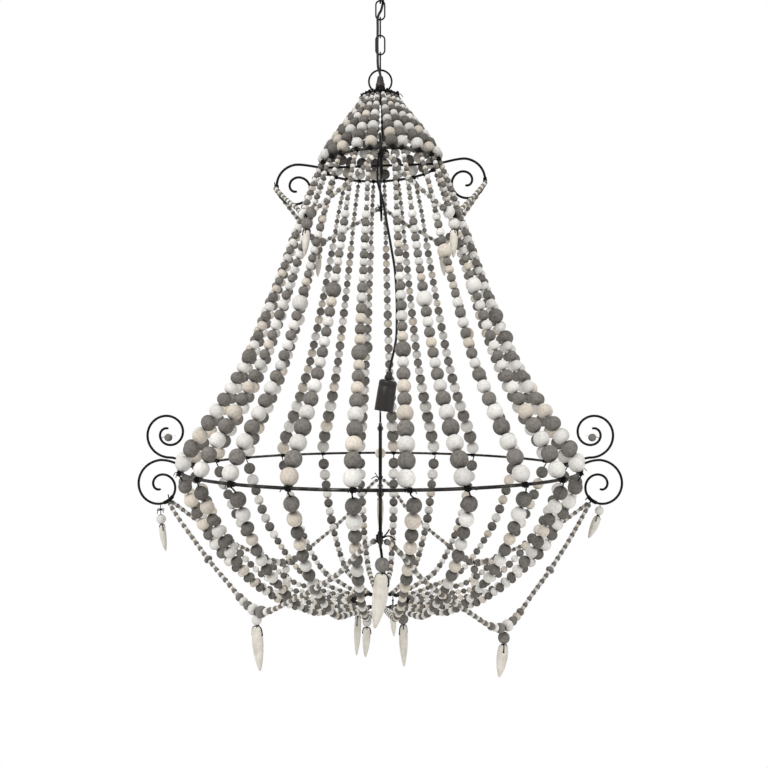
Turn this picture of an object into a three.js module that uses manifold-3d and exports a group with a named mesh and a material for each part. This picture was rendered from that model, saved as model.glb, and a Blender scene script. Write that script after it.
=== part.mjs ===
import * as THREE from 'three';
import { mergeVertices } from 'three/addons/utils/BufferGeometryUtils.js';
import Module from 'manifold-3d';

const wasm = await Module();
wasm.setup();

// A beaded basket chandelier on a chain. Lengths are millimetres, the origin is the middle of the
// ceiling rose's top face, +Z is up and the front faces -Y. Azimuths turn from +X towards +Y.
const degree = Math.PI / 180;
const up = new THREE.Vector3(0, 0, 1);

// Clearance between pieces that touch
const gap = 0.3;

// Ceiling rose and the eye bolt under it
const roseRadius = 50;
const roseDepth = 22;
const roseRimHeight = 5;
const roseNeckRadius = 16;
const roseSides = 24;
const eyeRadius = 10;
const eyeWire = 3.5;
const shankDiameter = 5;
const shankLength = 16.9;
const shankSides = 8;

// Chain
const linkCount = 4;
const linkLength = 39.6;
const linkWidth = 20;
const linkWire = 3;

// Suspension ring, and the facets of every bent wire
const ringRadius = 21.8;
const ringWire = 3.6;
const wireSides = 5;
const loopSteps = 12;
const ringSteps = 20;

// Crown hoop with its arched carrying bar and the saddle under the cord grip
const crownRadius = 30.6;
const crownWire = 4;
const crownArchRise = 12;
const archSteps = 8;
const saddleRadius = 9.5;
const saddleOffset = 12;
const saddleSides = 12;

// Cord grip on the saddle
const gripHeight = 20.1;
const gripBaseRadius = 8.7;
const gripTopRadius = 5.2;
const gripBandHeight = 6.5;
const gripSides = 10;

// Cords
const cordDiameter = 4.8;
const cordSides = 8;
const supplySteps = 18;
const lampTopSteps = 14;
const lampDropSteps = 32;

// Hoops that the strings of beads are tied to
const hoopSides = 4;
const upperHoopRadius = 111.7;
const upperHoopWire = 5;
const upperHoopLean = 2.1 * degree;
const mainHoopRadius = 371;
const mainHoopWire = 5.6;
const bottomHoopRadius = 50;
const bottomHoopWire = 4.4;
const crownHeight = 131.4;
const longHeight = 576.2;
const basketDepth = 255.4;

// Scrolled arms
const armCount = 4;
const armWire = 4.2;
const armSteps = 20;
const leadSteps = 2;
const armTurns = 1.5;
const upperScroll = { centre: 161.2, startRadius: 44, endRadius: 6.7, rise: 8 };
const risingScroll = { centre: 405.4, startRadius: 45.7, endRadius: 9.5, rise: 18.3 };
const fallingScroll = { centre: 420.9, startRadius: 48.8, endRadius: 6.5, rise: 13.4 };
const kneeReach = 19.2;
const risingKneeRise = 19.6;
const fallingKneeRise = 4.7;

// Strings of beads, each from the crown to the bottom hoop
const stringCount = 24;
const stringSides = 3;
const threadDiameter = 2;
const shapedBeadDiameter = 20.2;
const beadReachShare = 1.08;
const crownPassShare = 0.15;
const hoopPassShare = 0.3;
const neckShare = 0.42;
const runShare = 0.92;
const runStep = 48;
const tieAbove = 4;
const tieBelow = 7;
const crownBeads = [8, 9, 10, 12, 14, 16, 17.5, 20, 21.5, 22];
const longBeads = [
  8.5, 9, 9.5, 9, 9.5, 9.5, 9.5, 9.5, 9.5, 9.5, 9.5, 9.5, 9.5,
  15, 15, 15, 15, 15, 15, 15, 15, 15.5,
  18, 18.5, 25.5, 18.5, 18.5, 18.5, 18.5, 19, 22, 23, 24,
  26, 27, 27.5, 28, 28,
];
const basketBeads = [
  25, 24.5, 21, 20.5, 20, 20, 19.5, 17.5, 15, 13.5, 14, 13, 13.5, 12.5, 13, 12, 12,
  11, 11, 10.5, 10.5, 10, 10, 9.5, 9.5, 9, 9, 9, 9,
];

// Outline of a string in each stretch, as shares of the stretch's widening and of its fall
const crownOutlineShares = [[0, 0], [0.15, 0.17], [0.53, 0.52], [0.9, 0.88], [1, 1]];
const longOutlineShares = [
  [0, 0], [0.1, 0.11], [0.19, 0.235], [0.36, 0.45], [0.5, 0.61],
  [0.61, 0.71], [0.77, 0.825], [0.94, 0.94], [1, 1],
];
const basketOutlineShares = [
  [0, 0], [0.1, 0.29], [0.19, 0.5], [0.3, 0.667], [0.444, 0.84], [0.58, 0.944],
  [0.72, 0.974], [0.87, 0.996], [1, 1],
];

// Festoons between the scrolls
const festoonSides = 4;
const festoonThread = 2;
const festoonBead = 7.8;
const festoonRunSteps = 4;
const halfPoints = 3;
const festoonNeck = 5;
const festoonTie = 6.5;
const upperFestoon = { lowRadius: 182, falls: [86, 86, 86, 86], sag: 4, beads: [15, 18] };
const lowerFestoon = {
  lowRadius: 289, falls: [159, 159, 154, 181], sag: 9, beads: [13, 14.5, 16, 18],
};

// Pendants: a bead over a tusk. The tip leans outwards and sways sideways from under its seat.
const pendantSides = 5;
const pendantThread = 2;
const pendantTip = 1.6;
const swayBackShare = 0.35;
const tuskShares = [[0.3, 0.02], [0.46, 0.08], [0.5, 0.22], [0.42, 0.55], [0.25, 0.85]];
const scrollPendants = {
  right: { azimuth: 0, drop: 0.4, bead: 17, tusk: 43, width: 17, lean: -22, sway: 0 },
  front: { azimuth: -90, drop: 13, bead: 20.5, tusk: 76.5, width: 22, lean: 0, sway: 8 },
  left: { azimuth: 180, drop: 16, bead: 18, tusk: 51, width: 14, lean: -10, sway: 0 },
  back: { azimuth: 90, drop: 20, bead: 18, tusk: 85, width: 16, lean: 3, sway: 0 },
};
const upperPendants = {
  back_right: { azimuth: 45, drop: 3, bead: 18, tusk: 44, width: 14, lean: 2, sway: 4 },
  back_left: { azimuth: 135, drop: 3, bead: 18, tusk: 46, width: 14, lean: -2, sway: -3 },
  front_left: { azimuth: -135, drop: 3, bead: 18, tusk: 45, width: 14, lean: 2, sway: 4 },
  front_right: { azimuth: -45, drop: 3, bead: 18.5, tusk: 49, width: 15, lean: 1, sway: 2 },
};
const lowerPendants = {
  back_right: { azimuth: 45, drop: 4, bead: 17, tusk: 70, width: 18, lean: 2, sway: 5 },
  back_left: { azimuth: 135, drop: 4, bead: 17, tusk: 66, width: 18, lean: -2, sway: 4 },
  front_left: { azimuth: -135, drop: 3, bead: 17, tusk: 72, width: 20.5, lean: 1, sway: -10 },
  front_right: { azimuth: -45, drop: 4, bead: 19.5, tusk: 52, width: 20, lean: -1, sway: 11 },
};
const bottomPendants = {
  back_right: { azimuth: 60, drop: 15, bead: 16, tusk: 45, width: 12, lean: 1, sway: 2 },
  back_left: { azimuth: 150, drop: 15, bead: 17, tusk: 75, width: 15, lean: 2, sway: -3 },
  front_left: { azimuth: -120, drop: 16, bead: 17, tusk: 56, width: 15, lean: 1, sway: 3 },
  front_right: { azimuth: -30, drop: 14, bead: 20, tusk: 79, width: 18, lean: 1, sway: -2 },
};

// Small beads hung on threads inside the rising scrolls
const curlBead = 15;
const curlBeadDrop = 7.6;
const curlThread = 1.6;
const curlBeadSides = 6;

// Where the lower festoon and the pendants meet the falling scrolls, as shares of the scroll
const lowerTieShare = 7 / 18;
const scrollPendantShare = 1 / 3;

// Lamp holder on its cord
const holderLean = 8.5 * degree;
const holderGripHeight = 15;
const holderGripTopRadius = 5.2;
const holderGripBaseRadius = 8;
const shellLength = 61;
const shellTopRadius = 17.3;
const shellShoulder = 5;
const shellBottomRadius = 18.1;
const shellWall = 1.6;
const shellCrownWall = 3;
const insertLength = 32;
const insertBoreRadius = 13.4;
const insertLip = 2;
const holderSides = 16;

// Finishes
const iron = { color: 0x3c3b39, roughness: 0.55, metalness: 0.8 };
const blackIron = { color: 0x1c1b1b, roughness: 0.5, metalness: 0.7 };
const wood = { color: 0xaaa69f, roughness: 0.85, metalness: 0 };
const ivory = { color: 0xd9d2c4, roughness: 0.7, metalness: 0 };
const cordBlack = { color: 0x141313, roughness: 0.7, metalness: 0 };
const plasticBlack = { color: 0x24211f, roughness: 0.6, metalness: 0 };
const porcelain = { color: 0xd8d4cc, roughness: 0.4, metalness: 0 };

// Heights, each hung from the one above
const rimCentre = (length, wire) => length / 2 - wire / 2;
const roseBase = -roseDepth;
const eyeCentre = roseBase - gap - shankLength - eyeRadius;
const eyeSeat = eyeCentre - eyeRadius;
const firstLinkTop = eyeSeat + eyeWire / 2 + gap + linkWire / 2;
const linkPitch = linkLength - 2 * linkWire - gap;
const linkCentre = (index) => firstLinkTop - rimCentre(linkLength, linkWire) - index * linkPitch;
const linkSeat = (index) => linkCentre(index) - rimCentre(linkLength, linkWire);
const ringTop = linkSeat(linkCount - 1) + linkWire / 2 + gap + ringWire / 2;
const ringCentre = ringTop - ringRadius;
const ringSeat = ringCentre - ringRadius;
const archTop = ringSeat + ringWire / 2 + gap + crownWire / 2;
const crownLevel = archTop - crownArchRise;
const upperLevel = crownLevel - crownHeight;
const mainLevel = upperLevel - longHeight;
const bottomLevel = mainLevel - basketDepth;

// Drops the doubled corners and collapsed facets of a closed surface
function closed(geometry) {
  const bare = geometry.index ? geometry.toNonIndexed() : geometry.clone();
  bare.deleteAttribute('normal');
  bare.deleteAttribute('uv');
  const merged = mergeVertices(bare);
  const corners = merged.index.array;
  const kept = [];
  for (let i = 0; i < corners.length; i += 3) {
    const [a, b, c] = corners.slice(i, i + 3);
    if (a !== b && b !== c && c !== a) kept.push(a, b, c);
  }
  merged.setIndex(kept);
  return merged;
}

// A closed surface as a solid that can be joined or cut
function solid(geometry) {
  const shape = closed(geometry);
  return new wasm.Manifold(new wasm.Mesh({
    numProp: 3,
    vertProperties: new Float32Array(shape.getAttribute('position').array),
    triVerts: new Uint32Array(shape.index.array),
  }));
}

function surface(manifold) {
  const mesh = manifold.getMesh();
  const geometry = new THREE.BufferGeometry();
  geometry.setAttribute('position', new THREE.BufferAttribute(mesh.vertProperties, 3));
  geometry.setIndex(new THREE.BufferAttribute(mesh.triVerts, 1));
  return geometry;
}

function join(geometries) {
  return surface(geometries.map(solid).reduce((whole, piece) => whole.add(piece)));
}

function cut(geometry, tool) {
  return surface(solid(geometry).subtract(solid(tool)));
}

// A regular section of a wire or cord
function section(diameter, sides) {
  const corners = [];
  for (let side = 0; side < sides; side += 1) {
    const turn = side * 2 * Math.PI / sides;
    corners.push(new THREE.Vector2(Math.cos(turn), Math.sin(turn)).multiplyScalar(diameter / 2));
  }
  return new THREE.Shape(corners);
}

function rod(path, diameter, sides, steps) {
  return new THREE.ExtrudeGeometry(section(diameter, sides), { extrudePath: path, steps });
}

// A turned profile of [radius, distance] pairs
function turned(profile, sides) {
  const points = profile.map(([radius, distance]) => new THREE.Vector2(radius, distance));
  return new THREE.LatheGeometry(points, sides);
}

// A turned profile, upright on +Z
function upright(profile, sides) {
  return turned(profile, sides).rotateX(Math.PI / 2);
}

// A turned profile laid along a path, with one of its edges towards `facing`
function strung(profile, path, sides, facing) {
  const shape = turned(profile, sides);
  const place = shape.getAttribute('position');
  const length = path.getLength();
  const centre = new THREE.Vector3();
  const along = new THREE.Vector3();
  const across = new THREE.Vector3();
  const out = new THREE.Vector3();
  for (let i = 0; i < place.count; i += 1) {
    const share = THREE.MathUtils.clamp(place.getY(i) / length, 0, 1);
    path.getPointAt(share, centre);
    path.getTangentAt(share, along);
    across.crossVectors(along, facing(centre)).normalize();
    out.crossVectors(across, along);
    centre.addScaledVector(across, place.getX(i)).addScaledVector(out, place.getZ(i));
    place.setXYZ(i, centre.x, centre.y, centre.z);
  }
  return shape;
}

function outward(point) {
  return new THREE.Vector3(point.x, point.y, 0).normalize();
}

function azimuthVector(azimuth) {
  return new THREE.Vector3(Math.cos(azimuth), Math.sin(azimuth), 0);
}

// A point given by its radius and height on an azimuth
function polar(radius, azimuth, height) {
  return new THREE.Vector3(radius * Math.cos(azimuth), radius * Math.sin(azimuth), height);
}

// Height of the leaning upper frame above its middle
function leanAt(point) {
  return point.x * Math.tan(upperHoopLean);
}

// One arm in its own upright plane: a straight or bent lead, then a scroll that tightens evenly
class ArmPath extends THREE.Curve {
  constructor(lead, scroll, height, turnSign) {
    super();
    this.scroll = scroll;
    this.middle = height - turnSign * scroll.startRadius;
    this.turnSign = turnSign;
    this.lead = [...lead, this.spiralPoint(0)];
    this.leadShare = leadSteps / armSteps;
  }

  leadPoint(share) {
    const place = Math.min(share * leadSteps, leadSteps - 1e-6);
    const index = Math.floor(place);
    return this.lead[index].clone().lerp(this.lead[index + 1], place - index);
  }

  spiralPoint(share) {
    const { centre, startRadius, endRadius } = this.scroll;
    const radius = THREE.MathUtils.lerp(startRadius, endRadius, share);
    const turn = Math.PI / 2 - share * armTurns * 2 * Math.PI;
    return new THREE.Vector2(
      centre + radius * Math.cos(turn), this.middle + this.turnSign * radius * Math.sin(turn),
    );
  }

  getPoint(share, target = new THREE.Vector3()) {
    const flat = share < this.leadShare
      ? this.leadPoint(share / this.leadShare)
      : this.spiralPoint((share - this.leadShare) / (1 - this.leadShare));
    return target.set(flat.x, 0, flat.y);
  }

  // Steps follow the turns, so the tight middle stays round
  getUtoTmapping(share) {
    return share;
  }
}

// Upper arms leave the hub level, cross the hoop and rise into their scroll
function upperArm() {
  const lead = [new THREE.Vector2(0, 0), new THREE.Vector2(upperHoopRadius, 0)];
  return new ArmPath(lead, upperScroll, upperScroll.rise, 1);
}

// Main arms leave the hoop and bend at a knee before their scroll
function mainArm(scroll, kneeRise, turnSign) {
  const lead = [
    new THREE.Vector2(mainHoopRadius, mainLevel),
    new THREE.Vector2(mainHoopRadius + kneeReach, mainLevel + kneeRise),
  ];
  return new ArmPath(lead, scroll, mainLevel + scroll.rise, turnSign);
}

function arm(path, azimuth) {
  return rod(path, armWire, hoopSides, armSteps).rotateZ(azimuth);
}

function hoop(radius, wire, sides, steps, height) {
  const ring = new THREE.TorusGeometry(radius, wire / 2, sides, steps);
  return ring.translate(0, 0, height);
}

// A loop of wire in the XZ plane, its two halves drawn apart into a link
function loop(radius, wire, steps, stretch) {
  const ring = new THREE.TorusGeometry(radius, wire / 2, wireSides, steps);
  if (stretch > 0) ring.rotateZ(Math.PI / steps);
  ring.rotateX(Math.PI / 2);
  const place = ring.getAttribute('position');
  for (let i = 0; i < place.count; i += 1) {
    place.setZ(i, place.getZ(i) + Math.sign(place.getZ(i)) * stretch);
  }
  return ring;
}

const group = new THREE.Group();

function add(name, geometry, finish, parent = group) {
  const mesh = new THREE.Mesh(closed(geometry), new THREE.MeshStandardMaterial(finish));
  mesh.geometry.computeVertexNormals();
  mesh.name = name;
  parent.add(mesh);
  return mesh;
}

// Ceiling rose: a low dome with a flat neck for the eye bolt and the cord
function ceilingRose() {
  return upright([
    [0, -roseDepth], [roseNeckRadius, -roseDepth],
    [(roseNeckRadius + roseRadius) / 2, -(roseDepth + roseRimHeight) / 2],
    [roseRadius, -roseRimHeight], [roseRadius, 0], [0, 0],
  ], roseSides);
}

// Eye bolt: a shank and a closed eye in the YZ plane
function eyeBolt() {
  const shank = new THREE.CylinderGeometry(
    shankDiameter / 2, shankDiameter / 2, shankLength, shankSides,
  );
  shank.rotateX(Math.PI / 2).translate(0, 0, roseBase - gap - shankLength / 2);
  const eye = loop(eyeRadius, eyeWire, loopSteps, 0);
  eye.rotateZ(Math.PI / 2).translate(0, 0, eyeCentre);
  return join([shank, eye]);
}

function chainLink(index) {
  const bend = rimCentre(linkWidth, linkWire);
  const link = loop(bend, linkWire, loopSteps, rimCentre(linkLength, linkWire) - bend);
  return link.rotateZ(index % 2 * Math.PI / 2).translate(0, 0, linkCentre(index));
}

// Crown hoop, its carrying bar arched front to back, and the pierced saddle
function crown() {
  const bar = [];
  for (let step = 0; step <= archSteps; step += 1) {
    const turn = step / archSteps * Math.PI;
    bar.push(new THREE.Vector3(
      0, -crownRadius * Math.cos(turn), crownLevel + crownArchRise * Math.sin(turn),
    ));
  }
  const arch = rod(new THREE.CatmullRomCurve3(bar), crownWire, hoopSides, archSteps);
  const plate = new THREE.CylinderGeometry(saddleRadius, saddleRadius, crownWire, saddleSides);
  plate.rotateX(Math.PI / 2).translate(0, -saddleOffset, archTop);
  const hole = new THREE.CylinderGeometry(
    cordDiameter / 2 + 2 * gap, cordDiameter / 2 + 2 * gap, crownRadius, cordSides,
  );
  hole.rotateX(Math.PI / 2).translate(0, -saddleOffset, archTop);
  const ring = hoop(crownRadius, crownWire, hoopSides, stringCount, crownLevel);
  return cut(join([ring.rotateZ(Math.PI / stringCount), arch, plate]), hole);
}

function cordGrip() {
  const base = archTop + crownWire / 2 + gap;
  const grip = upright([
    [0, 0], [gripBaseRadius, 0], [gripBaseRadius, gripBandHeight],
    [(gripBaseRadius + gripTopRadius) / 2, gripBandHeight], [gripTopRadius, gripHeight],
    [0, gripHeight],
  ], gripSides);
  return grip.translate(0, -saddleOffset, base);
}

// Upper hoop with its crossed arms, each ending in a scroll
function upperFrame() {
  const pieces = [
    hoop(upperHoopRadius, upperHoopWire, hoopSides, stringCount, 0)
      .rotateZ(Math.PI / stringCount),
  ];
  for (let index = 0; index < armCount; index += 1) {
    pieces.push(arm(upperArm(), index * 2 * Math.PI / armCount));
  }
  return join(pieces);
}

// The bead that hangs inside a rising scroll, from the scroll's inner end
function curlBeadPiece(path, azimuth) {
  const rise = curlBeadDrop + risingScroll.endRadius;
  const bead = upright([
    [0, -curlBead / 2], [curlBead * neckShare, -curlBead / 4], [curlBead / 2, 0],
    [curlBead * neckShare, curlBead / 4], [curlThread / 2, curlBead / 2],
    [curlThread / 2, rise], [0, rise],
  ], curlBeadSides);
  return bead.translate(risingScroll.centre, 0, path.middle - curlBeadDrop).rotateZ(azimuth);
}

// Main hoop with a rising and a falling scroll at each arm
function mainFrame() {
  const pieces = [hoop(mainHoopRadius, mainHoopWire, hoopSides, 2 * stringCount, mainLevel)];
  for (let index = 0; index < armCount; index += 1) {
    const azimuth = index * 2 * Math.PI / armCount;
    const rising = mainArm(risingScroll, risingKneeRise, -1);
    const falling = mainArm(fallingScroll, fallingKneeRise, 1);
    pieces.push(arm(rising, azimuth), arm(falling, azimuth), curlBeadPiece(rising, azimuth));
  }
  return join(pieces);
}

// A string's outline in one stretch, between two hoops
function stretch(outlineShares, from, to) {
  const points = outlineShares.map(([widening, fall]) => new THREE.Vector2(
    from.x + (to.x - from.x) * widening, from.y + (to.y - from.y) * fall,
  ));
  return new THREE.SplineCurve(points);
}

// Where a string's thread passes outside a hoop
function passing(radius, wire, height, share) {
  return new THREE.Vector2(radius + wire / 2 + gap + threadDiameter * share, height);
}

class StringPath extends THREE.Curve {
  constructor(azimuth) {
    super();
    this.azimuth = azimuth;
    const lean = leanAt(polar(upperHoopRadius, azimuth, 0));
    const top = passing(crownRadius, crownWire, crownLevel, crownPassShare);
    const waist = passing(upperHoopRadius, upperHoopWire, upperLevel + lean, hoopPassShare);
    const girth = passing(mainHoopRadius, mainHoopWire, mainLevel, hoopPassShare);
    const foot = passing(bottomHoopRadius, bottomHoopWire, bottomLevel, 0);
    this.stretches = [
      stretch(crownOutlineShares, top, waist),
      stretch(longOutlineShares, waist, girth),
      stretch(basketOutlineShares, girth, foot),
    ];
    this.outline = new THREE.CurvePath();
    this.stretches.forEach((piece) => this.outline.add(piece));
  }

  getPoint(share, target = new THREE.Vector3()) {
    const flat = this.outline.getPoint(share);
    return target.copy(polar(flat.x, this.azimuth, flat.y));
  }
}

// Rings of a row of beads: large beads are shaped one by one, runs of small ones as a rod
function beadRings(diameters, start, end) {
  const spread = (end - start) / diameters.reduce((sum, diameter) => sum + diameter, 0);
  const rings = [];
  let place = start;
  let run = [];
  const closeRun = () => {
    if (run.length === 0) return;
    const from = run[0];
    const to = run[run.length - 1];
    const steps = Math.max(1, Math.round((to.end - from.start) / runStep));
    for (let step = 0; step <= steps; step += 1) {
      const share = step / steps;
      const width = THREE.MathUtils.lerp(from.diameter, to.diameter, share) * runShare;
      rings.push([width / 2, THREE.MathUtils.lerp(from.start, to.end, share)]);
    }
    run = [];
  };
  diameters.forEach((diameter, index) => {
    const length = diameter * spread;
    if (diameter < shapedBeadDiameter) {
      run.push({ diameter, start: place, end: place + length });
    } else {
      closeRun();
      rings.push([diameter / 2 * beadReachShare, place + length / 2]);
      if (index < diameters.length - 1) {
        rings.push([diameter / 2 * neckShare, place + length]);
      }
    }
    place += length;
  });
  closeRun();
  rings.push([threadDiameter / 2, end]);
  return rings;
}

function beadString(index) {
  const azimuth = (index + 0.5) * 2 * Math.PI / stringCount;
  const path = new StringPath(azimuth);
  const [crownEnd, longEnd] = path.outline.getCurveLengths();
  const end = path.getLength();
  const thread = threadDiameter / 2;
  const profile = [
    [0, 0], [thread, 0], [thread, tieAbove],
    ...beadRings(crownBeads, tieAbove, crownEnd - tieAbove),
    [thread, crownEnd],
    ...beadRings(longBeads, crownEnd + tieAbove, longEnd - tieAbove),
    [thread, longEnd],
    ...beadRings(basketBeads, longEnd + tieBelow, end - tieAbove),
    [thread, end], [0, end],
  ];
  return strung(profile, path, stringSides, outward);
}

// Mean height of a festoon's ties
function tieMiddle(tie) {
  return (tie(0).z + tie(Math.PI).z) / 2;
}

// A festoon is one string round the chandelier, tied at each scroll and low between them. Its two
// ends meet at the first tie.
function festoon(tie, { lowRadius, falls, sag, beads }) {
  const points = [];
  const sector = 2 * Math.PI / armCount;
  for (let index = 0; index < armCount; index += 1) {
    const from = tie(index * sector);
    const low = polar(lowRadius, (index + 0.5) * sector, tieMiddle(tie) - falls[index]);
    const to = tie((index + 1) * sector);
    [[from, low], [low, to]].forEach(([start, end]) => {
      for (let step = 0; step < halfPoints; step += 1) {
        const share = step / halfPoints;
        const point = start.clone().lerp(end, share);
        point.z -= sag * 4 * share * (1 - share);
        points.push(point);
      }
    });
  }
  const side = new THREE.Vector3(0, festoonThread / 2 + gap / 2, 0);
  points[0].add(side);
  points.push(tie(0).sub(side));
  const path = new THREE.CatmullRomCurve3(points, false, 'centripetal');
  path.arcLengthDivisions = (points.length - 1) * halfPoints * festoonRunSteps;
  const lengths = path.getLengths();
  const thread = festoonThread / 2;
  const profile = [[0, 0], [thread, 0]];
  for (let span = 0; span < 2 * armCount; span += 1) {
    const each = (lengths.length - 1) / armCount / 2;
    const start = lengths[span * each];
    const end = lengths[(span + 1) * each];
    const rings = festoonRings(beads, end - start);
    if (span % 2 === 0) {
      rings.forEach(([radius, distance]) => profile.push([radius, start + distance]));
    } else {
      rings.reverse().forEach(([radius, distance]) => profile.push([radius, end - distance]));
    }
    profile.push([thread, end]);
  }
  profile.push([0, path.getLength()]);
  return strung(profile, path, festoonSides, outward);
}

// Rings of half a festoon: a run of small beads from the tie, then larger beads to the low point
function festoonRings(beads, half) {
  const large = beads.reduce((sum, diameter) => sum + diameter, 0);
  const runEnd = half - festoonNeck / 2 - large;
  const rings = [[festoonThread / 2, festoonTie]];
  for (let step = 0; step <= festoonRunSteps; step += 1) {
    const distance = THREE.MathUtils.lerp(festoonTie, runEnd, step / festoonRunSteps);
    rings.push([festoonBead / 2, distance]);
  }
  let place = runEnd;
  beads.forEach((diameter) => {
    rings.push([diameter / 2, place + diameter / 2]);
    rings.push([diameter / 2 * neckShare, place + diameter]);
    place += diameter;
  });
  return rings;
}

// A pendant: thread, bead, knot and tusk, hung from a seat and facing `towards`
function pendant({ drop, bead, tusk, width, lean, sway }, seat, towards) {
  const knot = pendantTip;
  const beadEnd = pendantTip + drop + bead;
  const length = beadEnd + knot + tusk;
  const thread = pendantThread / 2;
  const profile = [
    [0, 0], [thread, pendantTip], [thread, pendantTip + drop],
    [bead / 2, pendantTip + drop + bead / 2], [bead / 2 * neckShare, beadEnd],
    [thread, beadEnd + knot],
    ...tuskShares.map(([wide, far]) => [width * wide, beadEnd + knot + tusk * far]),
    [0, length],
  ];
  const across = new THREE.Vector3().crossVectors(up, towards);
  const bend = seat.clone().addScaledVector(up, -beadEnd);
  bend.addScaledVector(across, sway * swayBackShare);
  const tip = seat.clone().addScaledVector(up, -length).addScaledVector(towards, lean);
  tip.addScaledVector(across, -sway);
  const path = new THREE.QuadraticBezierCurve3(seat, bend, tip);
  const scaled = profile.map(([radius, far]) => [radius, far / length * path.getLength()]);
  return strung(scaled, path, pendantSides, () => across);
}

// Lamp holder: a stepped cord grip, a bell-shaped shell open below and the insert in it
function holderGrip() {
  return upright([
    [0, -holderGripHeight], [holderGripBaseRadius, -holderGripHeight],
    [holderGripBaseRadius, -holderGripHeight / 2],
    [(holderGripBaseRadius + holderGripTopRadius) / 2, -holderGripHeight / 2],
    [holderGripTopRadius, 0], [0, 0],
  ], holderSides);
}

function holderShell() {
  const top = -holderGripHeight - gap;
  const end = top - shellLength;
  return upright([
    [0, top], [0, top - shellCrownWall],
    [shellTopRadius - shellWall, top - shellCrownWall - shellShoulder / 2],
    [shellBottomRadius - shellWall, end], [shellBottomRadius, end],
    [shellTopRadius, top - shellShoulder], [holderGripBaseRadius, top], [0, top],
  ], holderSides);
}

function holderInsert() {
  const top = -holderGripHeight - gap - shellCrownWall - shellShoulder / 2 - gap;
  const radius = shellTopRadius - shellWall - gap;
  return upright([
    [0, top], [0, top - insertLip],
    [insertBoreRadius, top - insertLip], [insertBoreRadius, top - insertLength],
    [radius, top - insertLength], [radius, top], [0, top],
  ], holderSides);
}

// Cord routes
const supplyRoute = [
  [5, 5, -22.3], [5, 5, -29], [5, 5, -43], [5, 5, -56], [3.6, 2.6, -65], [1.5, 0, -74],
  [-3, -3.8, -84], [-5, -5, -92], [-5, -5, -108], [-5.2, -5, -125], [-5.6, -5.2, -141],
  [-5.2, -5.4, -158], [-5, -7, -168], [-4.8, -9.5, -180], [-3.6, -11.6, -191],
  [-1, -12, -198], [0, -12, -202], [0, -12, -205.3],
];
const lampTopRoute = [
  [0, -12, -226.1], [0, -12, -232], [1, -11.5, -242], [2.6, -10.8, -253], [3.5, -10, -265],
  [4, -9.5, -285], [4, -9, -305], [2.5, -8, -330], [-0.5, -6.6, -348], [-3.4, -5.6, -360],
  [-5, -5, -367], [-5, -5, -370], [-5, -5, -373], [-5, -5, -375],
];
const lampDropRoute = [
  [-5, -5, -375.3], [-5, -5, -381], [-4.6, -5, -403], [1.9, -5, -429],
  [8, -5, -456], [13, -5, -485], [21, -5, -530], [27.7, -5, -571],
  [31.2, -5, -628], [31.4, -5, -670], [30.4, -5, -700], [26.6, -5, -723],
  [22.2, -5, -742], [18.9, -5, -757], [17.7, -5, -765],
];

function cord(route, steps) {
  const points = route.map(([x, y, z]) => new THREE.Vector3(x, y, z));
  const path = new THREE.CatmullRomCurve3(points, false, 'centripetal');
  return rod(path, cordDiameter, cordSides, steps);
}

add('ceiling_rose', ceilingRose(), blackIron);
add('eye_bolt', eyeBolt(), blackIron);
add('supply_cord', cord(supplyRoute, supplySteps), cordBlack);
for (let index = 0; index < linkCount; index += 1) {
  add(`chain_link_${index + 1}`, chainLink(index), blackIron);
}
const ring = loop(ringRadius, ringWire, ringSteps, 0).translate(0, 0, ringCentre);
add('suspension_ring', ring, blackIron);
add('crown_hoop', crown(), blackIron);
add('cord_grip', cordGrip(), plasticBlack);
add('lamp_cord_top', cord(lampTopRoute, lampTopSteps), cordBlack);

const upper = new THREE.Group();
upper.position.z = upperLevel;
upper.rotation.y = -upperHoopLean;
group.add(upper);
add('upper_frame', upperFrame(), iron, upper);
add('main_frame', mainFrame(), iron);
const bottomHoop = hoop(
  bottomHoopRadius, bottomHoopWire, hoopSides, stringCount, bottomLevel,
);
add('bottom_hoop', bottomHoop.rotateZ(Math.PI / stringCount), iron);

for (let index = 0; index < stringCount; index += 1) {
  add(`bead_string_${String(index + 1).padStart(2, '0')}`, beadString(index), wood);
}

// The upper festoon is tied outside each upper scroll, the lower one under each falling scroll
function upperTie(azimuth) {
  const tip = upperArm().spiralPoint(1 / 4 / armTurns);
  const reach = tip.x + armWire / 2 + 1.5 * gap + festoonThread / 2;
  const place = polar(reach, azimuth, tip.y);
  place.applyAxisAngle(new THREE.Vector3(0, 1, 0), -upperHoopLean);
  place.z += upperLevel;
  return place;
}

function underScroll(azimuth, share, reach) {
  const path = mainArm(fallingScroll, fallingKneeRise, 1);
  const middle = new THREE.Vector2(fallingScroll.centre, path.middle);
  const foot = path.spiralPoint(share).sub(middle);
  foot.setLength(foot.length() + armWire / 2 + gap + reach).add(middle);
  return polar(foot.x, azimuth, foot.y);
}

function lowerTie(azimuth) {
  return underScroll(azimuth, lowerTieShare, festoonThread / 2);
}

add('upper_festoon', festoon(upperTie, upperFestoon), wood);
add('lower_festoon', festoon(lowerTie, lowerFestoon), wood);

function addPendants(place, sizes, seatOf) {
  Object.entries(sizes).forEach(([side, size]) => {
    const azimuth = size.azimuth * degree;
    const shape = pendant(size, seatOf(azimuth), azimuthVector(azimuth));
    add(`${place}_pendant_${side}`, shape, ivory);
  });
}

function underFestoon(tie, { lowRadius, falls }) {
  const sector = 2 * Math.PI / armCount;
  const height = tieMiddle(tie) - festoonThread / 2 - 1.5 * gap;
  return (azimuth) => {
    const index = Math.round(azimuth / sector - 0.5 + armCount) % armCount;
    return polar(lowRadius, azimuth, height - falls[index]);
  };
}

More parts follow.
